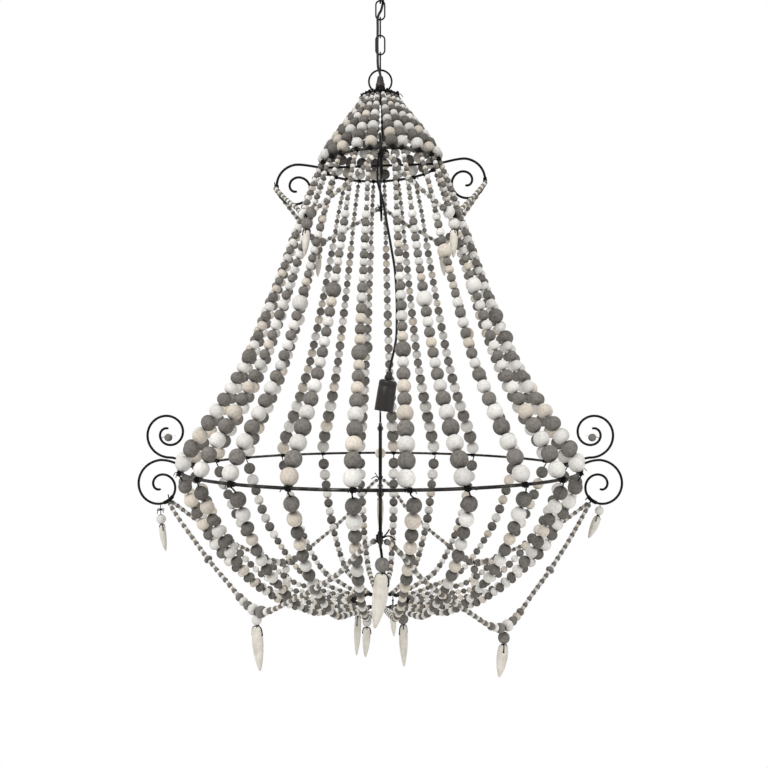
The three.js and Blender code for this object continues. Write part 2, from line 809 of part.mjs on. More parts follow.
addPendants('scroll', scrollPendants, (azimuth) => underScroll(azimuth, scrollPendantShare, 0));
addPendants('upper', upperPendants, underFestoon(upperTie, upperFestoon));
addPendants('lower', lowerPendants, underFestoon(lowerTie, lowerFestoon));
const underHoop = bottomLevel - bottomHoopWire / 2 - gap;
const hoopFacet = bottomHoopRadius * Math.cos(Math.PI / stringCount);
addPendants('bottom', bottomPendants, (azimuth) => polar(hoopFacet, azimuth, underHoop));

const holder = new THREE.Group();
const cordEnd = lampDropRoute[lampDropRoute.length - 1];
holder.position.set(cordEnd[0], cordEnd[1], cordEnd[2] - gap);
holder.rotation.y = holderLean;
group.add(holder);
add('lamp_cord_drop', cord(lampDropRoute, lampDropSteps), cordBlack);
add('lamp_holder_grip', holderGrip(), plasticBlack, holder);
add('lamp_holder_shell', holderShell(), plasticBlack, holder);
add('lamp_holder_insert', holderInsert(), porcelain, holder);

export default group;
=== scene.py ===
"""A beaded basket chandelier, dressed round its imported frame. Lengths here are millimetres, and
MM turns them into metres. The origin is the ceiling rose's top face, +Z is up, -Y is the front."""

import random
from math import acos, asin, atan2, cos, hypot, pi, radians, sin, tan

import bpy
import numpy as np
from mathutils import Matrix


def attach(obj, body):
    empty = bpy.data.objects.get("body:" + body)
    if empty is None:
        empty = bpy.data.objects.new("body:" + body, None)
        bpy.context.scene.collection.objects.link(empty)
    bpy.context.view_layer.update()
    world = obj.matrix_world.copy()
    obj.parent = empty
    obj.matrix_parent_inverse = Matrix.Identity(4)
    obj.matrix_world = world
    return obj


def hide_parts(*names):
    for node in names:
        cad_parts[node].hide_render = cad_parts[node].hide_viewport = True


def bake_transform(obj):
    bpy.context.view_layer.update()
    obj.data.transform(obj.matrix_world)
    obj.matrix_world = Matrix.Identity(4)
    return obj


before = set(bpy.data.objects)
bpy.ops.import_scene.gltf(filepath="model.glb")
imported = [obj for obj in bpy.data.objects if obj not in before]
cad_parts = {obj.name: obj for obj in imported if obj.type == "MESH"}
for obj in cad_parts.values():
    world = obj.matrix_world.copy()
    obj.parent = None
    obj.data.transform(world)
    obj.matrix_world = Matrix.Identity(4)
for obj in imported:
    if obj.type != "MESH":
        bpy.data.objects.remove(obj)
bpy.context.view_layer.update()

MM = 0.001
TAU = 2 * pi
SECTOR = TAU / 4
SECTORS = [i * SECTOR for i in range(4)]
GAP = 0.3
rng = random.Random(24)

# Camera: level, 1.53 m from the axis
PHOTO_WIDTH = 768
PIXEL = 1.913
CAMERA_DISTANCE = 800 * PIXEL
CAMERA_HEIGHT = -808
AXIS_COLUMN = 380.3
HORIZON_ROW = 394
SENSOR_WIDTH = 36

# Places of the materials in a beaded piece's list
GREY_SLOT, WHITE_SLOT, BEIGE_SLOT, THREAD_SLOT, BONE_SLOT = range(5)

# Rose and eye bolt
ROSE_RADIUS, ROSE_DEPTH = 50, 22
EYE_SEAT, EYE_RADIUS, EYE_WIRE = -59.2, 10, 3.5

# Chain and ring
LINK_COUNT, LINK_LENGTH, LINK_WIDTH, LINK_WIRE = 4, 39.6, 20, 3
RING_RADIUS, RING_WIRE = 21.8, 3.6
LINK_PITCH = LINK_LENGTH - 2 * LINK_WIRE - GAP
FIRST_LINK = EYE_SEAT + EYE_WIRE / 2 + GAP + LINK_WIRE - LINK_LENGTH / 2
LAST_SEAT = FIRST_LINK - (LINK_COUNT - 1) * LINK_PITCH - LINK_LENGTH / 2 + LINK_WIRE / 2
RING_CENTRE = LAST_SEAT + LINK_WIRE / 2 + GAP + RING_WIRE / 2 - RING_RADIUS
RING_SEAT = RING_CENTRE - RING_RADIUS

# Hoops
CROWN_RADIUS, CROWN_WIRE, CROWN_RISE = 30.6, 4, 12
UPPER_RADIUS, UPPER_WIRE, UPPER_LEAN = 111.7, 5, radians(2.1)
MAIN_RADIUS, MAIN_WIRE = 371, 5.6
BOTTOM_RADIUS, BOTTOM_WIRE = 50, 4.4
ARCH_TOP = RING_SEAT + RING_WIRE / 2 + GAP + CROWN_WIRE / 2
CROWN_LEVEL = ARCH_TOP - CROWN_RISE
UPPER_LEVEL = CROWN_LEVEL - 131.4
MAIN_LEVEL = UPPER_LEVEL - 576.2
BOTTOM_LEVEL = MAIN_LEVEL - 255.4

# Arms: (centre radius, start radius, end radius, rise) of each scroll
ARM_WIRE = 4.7
ARM_TURNS = 1.5
UPPER_SCROLL = (161.2, 44, 6.7, 8)
RISING_SCROLL = (405.4, 45.7, 9.5, 18.3)
FALLING_SCROLL = (420.3, 48.8, 6.5, 13.4)

# Strings of beads
STRING_COUNT = 24
THREAD = 1.7
THREAD_END = 0.85
TIE_ABOVE, TIE_BELOW = 4, 12.5
CROWN_BEADS = [8, 9, 10, 12, 14, 16, 17.5, 20, 21.5, 22]
LONG_BEADS = (
    [8.5, 9, 9.5, 9] + [9.5] * 9 + [15] * 8 + [15.5, 18, 18.5]
    + [18.5] * 4 + [19, 22, 23, 24, 26, 27, 27.5, 28, 28]
)
# Some strings have one larger bead, at these places among the long stretch's beads
ACCENT_BEAD, PLAIN_BEAD, PLAIN_PLACE = 27, 18.5, 26
ACCENT_PLACES = {
    2: 25, 6: 26, 9: 23, 13: 28, 15: 23, 16: 22, 17: 28, 18: 28, 19: 23, 20: 17, 21: 21, 22: 24, 23: 26,
}
GREY_CROWN_END = 18
BASKET_BEADS = [
    25, 24.5, 21, 20.5, 20, 20, 19.5, 17.5, 15, 13.5, 14, 13, 13.5, 12.5, 13, 12, 12,
    11, 11, 10.5, 10.5, 10, 10, 9.5, 9.5, 9, 9, 9, 9,
]
CROWN_OUTLINE = [(0, 0), (0.15, 0.17), (0.53, 0.52), (0.9, 0.88), (1, 1)]
LONG_OUTLINE = [
    (0, 0), (0.1, 0.11), (0.19, 0.235), (0.36, 0.45), (0.5, 0.61),
    (0.61, 0.71), (0.77, 0.825), (0.94, 0.94), (1, 1),
]
BASKET_OUTLINE = [
    (0, 0), (0.1, 0.29), (0.19, 0.5), (0.3, 0.667), (0.444, 0.835), (0.58, 0.93),
    (0.72, 0.96), (0.87, 0.988), (1, 1),
]

# Cord routes
CORD_DIAMETER = 4.8
CLAMP_Y = -12
SUPPLY_ROUTE = [
    (5, 5, -22.3), (5, 5, -29), (5, 5, -43), (5, 5, -56), (3.6, 2.6, -65), (1.5, 0, -74),
    (-3, -3.8, -84), (-5, -5, -92), (-5, -5, -108), (-5.2, -5, -125), (-5.6, -5.2, -141),
    (-5.2, -5.4, -158), (-5, -7, -168), (-4.8, -9.5, -180), (-3.6, -11.6, -191),
    (-1, -12, -198), (0, -12, -202), (0, -12, -205.3),
]
LAMP_ROUTE = [
    (0, -12, -226.1), (0, -12, -232), (1, -11.5, -242), (2.6, -10.8, -253), (3.5, -10, -265),
    (4, -9.5, -285), (4, -9, -305), (2.5, -8, -330), (-0.5, -6.6, -348), (-3.4, -5.6, -360),
    (-5, -5, -367), (-5, -5, -375), (-5, -5, -381), (-4.6, -5, -403), (1.9, -5, -429),
    (8, -5, -456), (13, -5, -485), (21, -5, -530), (27.7, -5, -571), (31.2, -5, -628),
    (31.4, -5, -670), (30.4, -5, -700), (26.6, -5, -723), (22.2, -5, -742), (18.9, -5, -757),
    (17.7, -5, -765),
]


def vec(*values):
    return np.array(values, float)


def unit(vector):
    return vector / (np.linalg.norm(vector) + 1e-12)


def ring_angles(count, start=0.0):
    return np.arange(count) / count * TAU + start


def around_z(points, angle):
    c, s = cos(angle), sin(angle)
    return np.asarray(points, float) @ np.array([[c, s, 0], [-s, c, 0], [0, 0, 1]])


def tangent(azimuth):
    """The direction round the axis at an azimuth."""
    return around_z((0, 1, 0), azimuth)


def moved(*shift):
    return lambda points: np.asarray(points, float) + shift


def tilted(points, lean):
    c, s = cos(lean), sin(lean)
    return np.asarray(points, float) @ np.array([[c, 0, s], [0, 1, 0], [-s, 0, c]])


def leaning(points):
    """Points of the upper frame, given round its own middle, leaned and put in place."""
    return tilted(points, UPPER_LEAN) + vec(0, 0, UPPER_LEVEL)


def polar(radius, azimuth, height):
    return vec(radius * cos(azimuth), radius * sin(azimuth), height)


def placed(name, data, location=(0, 0, 0), rotation=(0, 0, 0)):
    obj = bpy.data.objects.new(name, data)
    obj.location = location
    obj.rotation_euler = rotation
    bpy.context.scene.collection.objects.link(obj)
    return obj


def hermite(start, end, leaving, arriving, steps):
    """Points from start, short of end, on a curve with these directions at its ends."""
    t = np.arange(steps)[:, None] / steps
    return (
        start + leaving * t + (3 * (end - start) - 2 * leaving - arriving) * t ** 2
        + (2 * (start - end) + leaving + arriving) * t ** 3
    )


def through(points, per=10):
    """A centripetal curve through points."""
    pts = [vec(*p) for p in points]
    pts = [2 * pts[0] - pts[1], *pts, 2 * pts[-1] - pts[-2]]
    out = []
    for p0, p1, p2, p3 in zip(pts, pts[1:], pts[2:], pts[3:]):
        d0, d1, d2 = (max(np.linalg.norm(b - a), 1e-6) ** 0.5 for a, b in ((p0, p1), (p1, p2), (p2, p3)))
        t1 = ((p1 - p0) / d0 - (p2 - p0) / (d0 + d1) + (p2 - p1) / d1) * d1
        t2 = ((p2 - p1) / d1 - (p3 - p1) / (d1 + d2) + (p3 - p2) / d2) * d1
        out.extend(hermite(p1, p2, t1, t2, per))
    return np.array([*out, pts[-2]])


def outline_curve(shares, start, end, per=24):
    """A string's outline between two hoops, as (radius, height) points."""
    start, end = vec(*start), vec(*end)
    pts = [start + (end - start) * share for share in shares]
    pts = [pts[0], *pts, pts[-1]]
    out = []
    for p0, p1, p2, p3 in zip(pts, pts[1:], pts[2:], pts[3:]):
        out.extend(hermite(p1, p2, (p2 - p0) / 2, (p3 - p1) / 2, per))
    return np.array([*out, pts[-2]])


def between(distance, marks, values):
    return np.array([np.interp(distance, marks, values[:, k]) for k in range(3)])


class Path:
    """A line through close points, read by distance along it."""

    def __init__(self, points):
        self.points = np.asarray(points, float)
        steps = np.linalg.norm(np.diff(self.points, axis=0), axis=1)
        self.marks = np.concatenate([[0], np.cumsum(steps)])
        self.length = self.marks[-1]

    def at(self, distance):
        return between(distance, self.marks, self.points)

    def along(self, distance, reach=0.6):
        return unit(self.at(min(distance + reach, self.length)) - self.at(max(distance - reach, 0)))


class Shape:
    """Collects quads, each with its material's place in the list. Points have a tone, with painted shade
    in it, darker under 0, and a mark that tells a turned bead's material how far along its axis they are."""

    def __init__(self):
        self.parts, self.count = [], 0

    def grid(self, rows, slot, tone=0.0, closed_rows=False, marks=0.0):
        """Rows of points, each row a closed ring."""
        rows = np.asarray(rows, float)
        n, m = rows.shape[:2]
        bands = n if closed_rows else n - 1
        base = self.count + np.arange(n * m).reshape(n, m)
        lower, upper = base[:bands], np.roll(base, -1, axis=0)[:bands]
        quads = np.stack([lower, np.roll(lower, -1, axis=1), np.roll(upper, -1, axis=1), upper], axis=-1)
        values = (np.repeat(np.broadcast_to(value, n), m) for value in (tone, marks))
        self.parts.append((rows.reshape(-1, 3), quads.reshape(-1, 4), np.full(bands * m, slot), *values))
        self.count += n * m

    def build(self, name, materials):
        points, quads, slots, tones, marks = map(np.concatenate, zip(*self.parts))
        mesh = bpy.data.meshes.new(name)
        mesh.from_pydata((points * MM).tolist(), [], quads.tolist(), shade_flat=False)
        mesh.polygons.foreach_set("material_index", slots.astype(np.int32))
        for label, values in (("tone", tones), ("ring", marks)):
            attribute = mesh.attributes.new(label, "FLOAT", "POINT")
            attribute.data.foreach_set("value", values.astype(np.float32))
        for material in materials:
            mesh.materials.append(material)
        mesh.validate()
        return placed(name, mesh)


TUBE_SIDE = (0.3, 0.2, 1)


def frames(points, side):
    """The directions out and across along points, out starting near side."""
    outs, acrosses, out = [], [], np.asarray(side, float)
    for ahead in map(unit, np.gradient(points, axis=0)):
        out = unit(out - ahead * np.dot(out, ahead))
        outs.append(out)
        acrosses.append(np.cross(ahead, out))
    return np.array(outs), np.array(acrosses)


def rings(centres, outs, acrosses, radii, turns):
    """A ring of points round each centre, turning from out towards across."""
    centres = np.asarray(centres, float)
    outs, acrosses = (np.broadcast_to(sides, centres.shape)[:, None] for sides in (outs, acrosses))
    radii = np.broadcast_to(radii, len(centres))[:, None, None]
    return centres[:, None] + (np.cos(turns)[:, None] * outs + np.sin(turns)[:, None] * acrosses) * radii


def tube(shape, points, radius, sides=6, slot=THREAD_SLOT, side=TUBE_SIDE, caps=True):
    points = np.asarray(points, float)
    radii = np.array(np.broadcast_to(radius, len(points)), float)
    if caps:
        first = points[0] + unit(points[0] - points[1]) * radii[0] * 0.01
        last = points[-1] + unit(points[-1] - points[-2]) * radii[-1] * 0.01
        points = np.array([first, *points, last])
        radii = np.array([radii[0] * 0.03, *radii, radii[-1] * 0.03])
    shape.grid(rings(points, *frames(points, side), radii, ring_angles(sides)), slot)


def loop_tube(shape, points, radius, sides=14, slot=0, normal=(0, 0, 1)):
    """A closed loop of wire lying across normal."""
    points = np.asarray(points, float)
    tangents = np.roll(points, -1, axis=0) - np.roll(points, 1, axis=0)
    tangents /= np.linalg.norm(tangents, axis=1)[:, None]
    normal = unit(np.asarray(normal, float))
    rows = rings(points, normal, np.cross(tangents, normal), radius, ring_angles(sides))
    shape.grid(rows, slot, closed_rows=True)


def turned(shape, profile, sides, slot=0, place=np.asarray):
    """A turned form from (radius, height) pairs; place moves its points."""
    centres = [(0, 0, z) for _, z in profile]
    radii = [max(r, 0.02) for r, _ in profile]
    shape.grid(place(rings(centres, (1, 0, 0), (0, 1, 0), radii, ring_angles(sides))), slot)


# How strongly painted shade darkens each bead towards its poles, for the shadow between touching beads
POLE_SHADE = 2.0


def bead(shape, centre, axis, diameter, slot, tone, length=1.0, roundness=0.9):
    """A turned wooden bead with a drilled hole, flatter at its poles and darkened there with painted shade
    where beads touch.
    """
    sides, steps = (22, 12) if diameter > 17 else (16, 9)
    hole = min(1.6, diameter * 0.12)
    radius = diameter / 2
    first = asin(min(hole / radius, 0.9))
    angles = np.linspace(first, pi - first, steps)
    edge, lip = hole * 0.8, radius * 0.7 * length
    radii = [edge, *(radius * np.sin(angles) ** roundness), edge]
    heights = np.array([-lip, *(-radius * length * np.cos(angles)), lip])
    axis = unit(axis + vec(*(rng.uniform(-0.05, 0.05) for _ in range(3))))
    out = unit(np.cross(axis, unit(vec(0.31, 0.87, 0.21))))
    turns = ring_angles(sides, rng.uniform(0, TAU))
    rows = rings(centre + axis * heights[:, None], out, np.cross(axis, out), radii, turns)
    # Painted shade: the tone drops towards the poles, where neighbouring beads shadow each other
    tones = tone - POLE_SHADE * np.abs(heights / radius / length) ** 5
    shape.grid(rows, slot, tones, marks=rng.uniform(0, 500) + heights)


def loose_end(shape, heart, out, reach, drop, radius=0.72):
    """A stiff end of thread that leaves a knot, rises a little and hangs over."""
    end = heart + out * reach - vec(0, 0, drop)
    middle = heart + out * reach * 0.55 + vec(0, 0, reach * 0.22 - drop * 0.2)
    tube(shape, through([heart, middle, end], 6), radius)


def lump(shape, heart, along, size):
    """The heart of a knot: a ball of thread with turns of it laid across each other."""
    along = unit(along)
    reach = np.linspace(-1, 1, 7)
    radii = size * np.sqrt(1.02 - reach ** 2)
    tube(shape, [heart + along * size * r for r in reach], radii, 8, caps=False)
    for _ in range(2):
        out = unit(np.cross(along, vec(*(rng.uniform(-1, 1) for _ in range(3)))))
        over = unit(along * rng.uniform(0.3, 1) + np.cross(along, out))
        ring = [heart + (out * cos(t) + over * sin(t)) * size * 0.98 for t in ring_angles(12)]
        loop_tube(shape, ring, THREAD_END * 0.8, 5, THREAD_SLOT, np.cross(out, over))


def winding(shape, points, wire, pitch=1.5):
    """Thread wound close along a wire that runs through points."""
    line = Path(points)
    sides = frames(line.points, TUBE_SIDE)
    turns = max(2, round(line.length / pitch))
    coil = []
    for share in np.linspace(0, 1, turns * 14):
        place, turn = share * line.length, share * turns * TAU
        out, across = (between(place, line.marks, side) for side in sides)
        coil.append(line.at(place) + (out * cos(turn) + across * sin(turn)) * (wire / 2 + 0.7))
    tube(shape, coil, THREAD_END * rng.uniform(0.85, 1.0))


def knot(shape, centre, hoop_along, wire, outward_dir, size=1.0):
    """Thread wound on a hoop, a doubled knot outside it and two loose ends."""
    hoop_along = unit(hoop_along)
    across = unit(outward_dir - hoop_along * np.dot(outward_dir, hoop_along))
    half = rng.uniform(2.2, 3.2) * size
    winding(shape, [centre + hoop_along * s * half for s in np.linspace(-1, 1, 5)], wire)
    rise = np.cross(hoop_along, across)
    heart = centre + across * (wire / 2 + 1.4 * size)
    for turn in (0.4, 2.5, 4.6):
        turn += rng.uniform(-0.5, 0.5)
        shift = (hoop_along * cos(turn) * 1.5 + rise * sin(turn) * 1.9) * size
        lump(shape, heart + shift, hoop_along + rise * rng.uniform(-0.8, 0.8), rng.uniform(1.5, 2.0) * size)
    for sign in (-1, 1):
        out = unit(hoop_along * sign + across * rng.uniform(0.1, 0.8))
        loose_end(shape, heart, out, rng.uniform(5, 9) * size, rng.uniform(0, 4) * size)


# Materials


def linear(code):
    channels = [int(code[i:i + 2], 16) / 255 for i in (0, 2, 4)]
    return [c / 12.92 if c <= 0.04045 else ((c + 0.055) / 1.055) ** 2.4 for c in channels] + [1]


def put(tree, socket, value):
    """Links an output to a socket, or sets the socket to a value or a colour code."""
    if isinstance(value, bpy.types.NodeSocket):
        tree.links.new(value, socket)
    else:
        socket.default_value = linear(value) if isinstance(value, str) else value


def node(tree, kind, inputs=(), output=0, **settings):
    """Adds a node and gives one of its outputs."""
    made = tree.nodes.new("ShaderNode" + kind)
    for name, value in settings.items():
        setattr(made, name, value)
    for key, value in dict(inputs).items():
        put(tree, made.inputs[key], value)
    return made.outputs[output]


def ramp(tree, factor, stops):
    made = tree.nodes.new("ShaderNodeValToRGB")
    elements = made.color_ramp.elements
    while len(elements) < len(stops):
        elements.new(0.5)
    for element, (position, colour) in zip(elements, stops):
        element.position = position
        element.color = linear(colour) if isinstance(colour, str) else [colour] * 3 + [1]
    put(tree, made.inputs["Fac"], factor)
    return made.outputs["Color"]


def noise(tree, scale, detail=4, roughness=0.55, stretch=None):
    place = node(tree, "TexCoord", output="Object")
    if stretch:
        place = node(tree, "Mapping", {"Vector": place, "Scale": stretch})
    inputs = {"Vector": place, "Scale": scale, "Detail": detail, "Roughness": roughness}
    return node(tree, "TexNoise", inputs, "Fac")


def mix(tree, kind, factor, first, second):
    return node(tree, "Mix", {0: factor, 6: first, 7: second}, 2, data_type="RGBA", blend_type=kind)


def bump(tree, height, strength, distance, under=None):
    inputs = {"Height": height, "Strength": strength, "Distance": distance * MM}
    if under:
        inputs["Normal"] = under
    return node(tree, "Bump", inputs, "Normal")


def material(name, roughness, metallic=0.0, gloss=0.5):
    made = bpy.data.materials.new(name)
    made.use_nodes = True
    inputs = made.node_tree.nodes["Principled BSDF"].inputs
    for key, value in (("Roughness", roughness), ("Metallic", metallic), ("Specular IOR Level", gloss)):
        inputs[key].default_value = value
    return made, made.node_tree


def dress(tree, colour, roughness=None, normal=None):
    """Links a material's colour, roughness and normal to its shader."""
    shader = tree.nodes["Principled BSDF"]
    for key, output in (("Base Color", colour), ("Roughness", roughness), ("Normal", normal)):
        if output:
            tree.links.new(output, shader.inputs[key])
    return shader.outputs["BSDF"]


def chalk_wood(name, pale, base, worn, grain):
    """Chalk paint over turned wood: cloudy, with the lathe's rings, worn grain and each bead's tone, which
    carries painted shade.
    """
    made, tree = material(name, 0.82, gloss=0.3)
    clouds = ramp(tree, noise(tree, 240, 5), [(0.28, worn), (0.5, base), (0.74, pale)])
    streak = noise(tree, 620, 6, 0.7, (1, 1, 0.3))
    ring, tone = (node(tree, "Attribute", output="Fac", attribute_name=label) for label in ("ring", "tone"))
    lathe = node(tree, "TexNoise", {"W": ring, "Scale": 1.2, "Detail": 3}, "Fac", noise_dimensions="1D")
    # Painted shade: the tone darkens the colour towards beads' poles and in shaded rows
    shade = node(tree, "MapRange", {"Value": tone, "From Min": -4, "To Min": 0.1, "To Max": 1.1})
    colour = mix(tree, "MULTIPLY", grain, clouds, ramp(tree, streak, [(0.38, 0.72), (0.56, 1.0)]))
    colour = mix(tree, "MULTIPLY", grain, colour, ramp(tree, lathe, [(0.36, 0.8), (0.6, 1.0)]))
    colour = mix(tree, "MULTIPLY", 1.0, colour, shade)
    rough = ramp(tree, streak, [(0.3, 0.68), (0.7, 0.92)])
    rough_paint = bump(tree, noise(tree, 900, 4, 0.7), 0.35, 0.4)
    dress(tree, colour, rough, bump(tree, lathe, 0.25, 0.4, rough_paint))
    return made


def worked_iron(name, dark, base, rubbed, roughness, metallic=0.85):
    """Blackened iron, rubbed to grey on its high places, with a little brown bloom."""
    made, tree = material(name, roughness, metallic)
    broad = noise(tree, 55, 6, 0.65)
    tones = ramp(tree, broad, [(0.32, dark), (0.5, base), (0.68, rubbed)])
    bloom = ramp(tree, noise(tree, 21), [(0.56, 0.0), (0.7, 0.35)])
    rough = ramp(tree, broad, [(0.3, roughness + 0.14), (0.7, roughness - 0.12)])
    hammered = bump(tree, noise(tree, 260, 5, 0.6), 0.5, 0.5)
    dress(tree, mix(tree, "MIX", bloom, tones, "2e241c"), rough, hammered)
    return made


def cord_cover(name, colour, pale, roughness, scale, strength, gloss=0.5):
    made, tree = material(name, roughness, gloss=gloss)
    lint = noise(tree, scale, 5, 0.7)
    tones = ramp(tree, lint, [(0.35, colour), (0.7, pale)])
    rough = ramp(tree, lint, [(0.3, roughness - 0.1), (0.7, roughness + 0.12)])
    dress(tree, tones, rough, bump(tree, lint, strength, 0.3))
    return made


def bone(name):
    """Carved and sanded tusk: pale, with long grain and brown in its pores."""
    made, tree = material(name, 0.6)
    clouds = ramp(tree, noise(tree, 60), [(0.3, "c6bfb2"), (0.5, "d8d2c7"), (0.72, "e3ded5")])
    grain = noise(tree, 340, 6, 0.7, (1, 1, 0.08))
    colour = mix(tree, "MULTIPLY", 0.4, clouds, ramp(tree, grain, [(0.36, 0.72), (0.52, 1.0)]))
    dress(tree, colour, ramp(tree, grain, [(0.3, 0.48), (0.7, 0.72)]), bump(tree, grain, 0.4, 0.5))
    return made


GREY = chalk_wood("grey_wood", "95908a", "837e78", "6a6560", 0.55)
WHITE = chalk_wood("white_wood", "f5f3f0", "eeebe6", "dcd6cd", 0.3)
BEIGE = chalk_wood("beige_wood", "ebe3d8", "e3d9cb", "cfc2b0", 0.35)
THREAD_BLACK = cord_cover("black_thread", "0b0a0a", "1d1b1a", 0.85, 1500, 0.8, 0.15)
IRON = worked_iron("rubbed_iron", "191817", "302e2c", "55524e", 0.5)
BLACK_IRON = worked_iron("black_iron", "0a0909", "131211", "232120", 0.52)
CORD = cord_cover("black_cord", "0f0e0e", "1a1918", 0.6, 700, 0.25, 0.3)
BAKELITE = cord_cover("brown_black_plastic", "1b1714", "28211d", 0.48, 320, 0.2, 0.4)
PORCELAIN = cord_cover("porcelain", "cfcac0", "dedad2", 0.35, 90, 0.1)
BRASS = worked_iron("brass_contact", "6b5423", "93763a", "b3955a", 0.35, 0.9)
BEAD_MATERIALS = [GREY, WHITE, BEIGE, THREAD_BLACK, bone("tusk")]


def finish(shape, name, replaced, materials=BEAD_MATERIALS, body="chandelier"):
    """Makes a piece that rides on a body and stands for the CAD nodes that it replaces."""
    obj = shape.build(name, materials)
    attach(obj, body)
    if replaced:
        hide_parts(*replaced)


# Camera and light

camera_data = bpy.data.cameras.new("camera")
camera_data.sensor_width = SENSOR_WIDTH
camera_data.lens = SENSOR_WIDTH * CAMERA_DISTANCE / (PHOTO_WIDTH * PIXEL)
camera_data.shift_x = (PHOTO_WIDTH / 2 - AXIS_COLUMN) / PHOTO_WIDTH
camera_data.shift_y = (HORIZON_ROW - PHOTO_WIDTH / 2) / PHOTO_WIDTH
camera_place = (0, -CAMERA_DISTANCE * MM, CAMERA_HEIGHT * MM)
bpy.context.scene.camera = placed("camera", camera_data, camera_place, (pi / 2, 0, 0))
bpy.context.scene.view_settings.view_transform = "Standard"


# In metres
MIDDLE = (0, 0, -0.85)


def lamp(name, place, size, energy):
    """A round lamp aimed at the chandelier's middle."""
    data = bpy.data.lights.new(name, "AREA")
    data.shape = "DISK"
    data.size = size
    data.energy = energy
    x, y, z = vec(*MIDDLE) - vec(*place)
    pitch = acos(-z / hypot(x, y, z))
    placed(name, data, place, (pitch, 0, atan2(y, x) - pi / 2))


lamp("key", (-1.3, -2.1, 1.3), 1.6, 62)
lamp("fill", (2.4, -1.8, -0.2), 2.0, 18)
lamp("back", (0.6, 2.6, 0.9), 2.0, 52)
AMBIENT_STRENGTH = 0.62


def seeing_rays(tree):
    """One for the rays that see the white room: the camera's, reflections' and glass's."""
    rays = tree.nodes.new("ShaderNodeLightPath").outputs
    seeing = rays["Is Camera Ray"]
    for kind in ("Is Glossy Ray", "Is Transmission Ray"):
        seeing = node(tree, "Math", {0: seeing, 1: rays[kind]}, operation="MAXIMUM")
    return seeing


def show(tree, output, seen, hidden, shown):
    """Puts one shader out where the rays don't see the room, and another where they do."""
    choice = node(tree, "MixShader", {0: seen, 1: hidden, 2: shown})
    put(tree, tree.nodes[output].inputs["Surface"], choice)


world = bpy.data.worlds.new("world")
bpy.context.scene.world = world
world.use_nodes = True
ambient = world.node_tree.nodes["Background"]
ambient.inputs["Color"].default_value = (1, 1, 1, 1)
ambient.inputs["Strength"].default_value = AMBIENT_STRENGTH
clear = node(world.node_tree, "Background", {"Color": (1, 1, 1, 1)})
show(world.node_tree, "World Output", seeing_rays(world.node_tree), ambient.outputs["Background"], clear)

FLOOR_HEIGHT, FLOOR_REACH = -2.3, 9.0
FADE_START, FADE_END = 0.7, 1.25


def floor():
    """A pale floor whose far parts fade into the white of the room."""
    mesh = bpy.data.meshes.new("floor")
    corners = [(x * FLOOR_REACH, y * FLOOR_REACH, 0) for x, y in ((-1, -1), (1, -1), (1, 1), (-1, 1))]
    mesh.from_pydata(corners, [], [(0, 1, 2, 3)])
    made, tree = material("floor", 0.9)
    pale = dress(tree, ramp(tree, noise(tree, 6, 3), [(0.3, "eeeeec"), (0.7, "f2f2f0")]))
    place = node(tree, "TexCoord", output="Object")
    distance = node(tree, "VectorMath", {0: place}, "Value", operation="LENGTH")
    inputs = {"Value": distance, "From Min": FADE_START, "From Max": FADE_END}
    fade = node(tree, "MapRange", inputs, interpolation_type="SMOOTHSTEP")
    seen = node(tree, "Math", {0: fade, 1: seeing_rays(tree)}, operation="MULTIPLY")
    show(tree, "Material Output", seen, pale, node(tree, "Emission"))
    mesh.materials.append(made)
    obj = placed("floor", mesh, (0, 0, FLOOR_HEIGHT))


floor()


# Cords

LINKS = [f"chain_link_{i + 1}" for i in range(LINK_COUNT)]
LINK_SEATS = [FIRST_LINK - i * LINK_PITCH - LINK_LENGTH / 2 + LINK_WIRE / 2 for i in range(LINK_COUNT)]
LAST_BEND = -201.5
BEND_HEIGHTS = [EYE_SEAT, *LINK_SEATS, LAST_BEND]


def supply_cord():
    """The supply cord in lengths, each bending where one joint of the chain does."""
    line = Path(through(SUPPLY_ROUTE, 10))
    marks = np.linspace(0, line.length, 400)
    depths = [-line.at(mark)[2] for mark in marks]
    middles = [(a + b) / 2 for a, b in zip(BEND_HEIGHTS, BEND_HEIGHTS[1:])]
    bounds = [0, *(float(np.interp(-middle, depths, marks)) for middle in middles), line.length]
    for i, (start, end) in enumerate(zip(bounds, bounds[1:])):
        shape = Shape()
        points = [line.at(s) for s in np.linspace(start, end, max(8, int((end - start) / 1.5)))]
        tube(shape, points, CORD_DIAMETER / 2, 16, 0, caps=i in (0, len(middles)))
        obj = shape.build(f"supply_cord_length_{i + 1}", [CORD])
        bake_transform(obj)
        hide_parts("supply_cord")


def lamp_cord():
    points = through(LAMP_ROUTE, 10)
    shape = Shape()
    tube(shape, points, CORD_DIAMETER / 2, 16, 0)
    obj = shape.build("lamp_cord", [CORD])
    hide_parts("lamp_cord_top", "lamp_cord_drop")
    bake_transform(obj)


supply_cord()
lamp_cord()


# Ironwork


def circle(radius, steps, height=0.0):
    return np.array([polar(radius, turn, height) for turn in ring_angles(steps)])


def upright(radius, steps, height, azimuth=0.0):
    """A circle that stands in the plane of an azimuth."""
    turns = ring_angles(steps)
    return [polar(radius * cos(t), azimuth, height + radius * sin(t)) for t in turns]


def scroll_place(scroll, share, azimuth, level=0.0, sign=1, out=0.0):
    """A place in a scroll's wire, or out from it. A scroll whose sign is -1 turns up over its arm."""
    centre, start, end, rise = scroll
    turn = pi / 2 - share * ARM_TURNS * TAU
    radius = start + (end - start) * share + out
    height = level + rise + sign * (radius * sin(turn) - start)
    return polar(centre + radius * cos(turn), azimuth, height)


# An arm: its scroll and sign, the (radius, height) from its hoop where it starts and towards which it
# leaves, how far before the scroll's top it levels out, and its steps
UPPER_ARM = (UPPER_SCROLL, 1, (-12, 0), (10, 0), 22, 20)
MAIN_ARMS = (
    (RISING_SCROLL, -1, (0, 3), (8, 12), 15, 22),
    (FALLING_SCROLL, 1, (-5, -3.6), (10, 1), 24, 24),
)


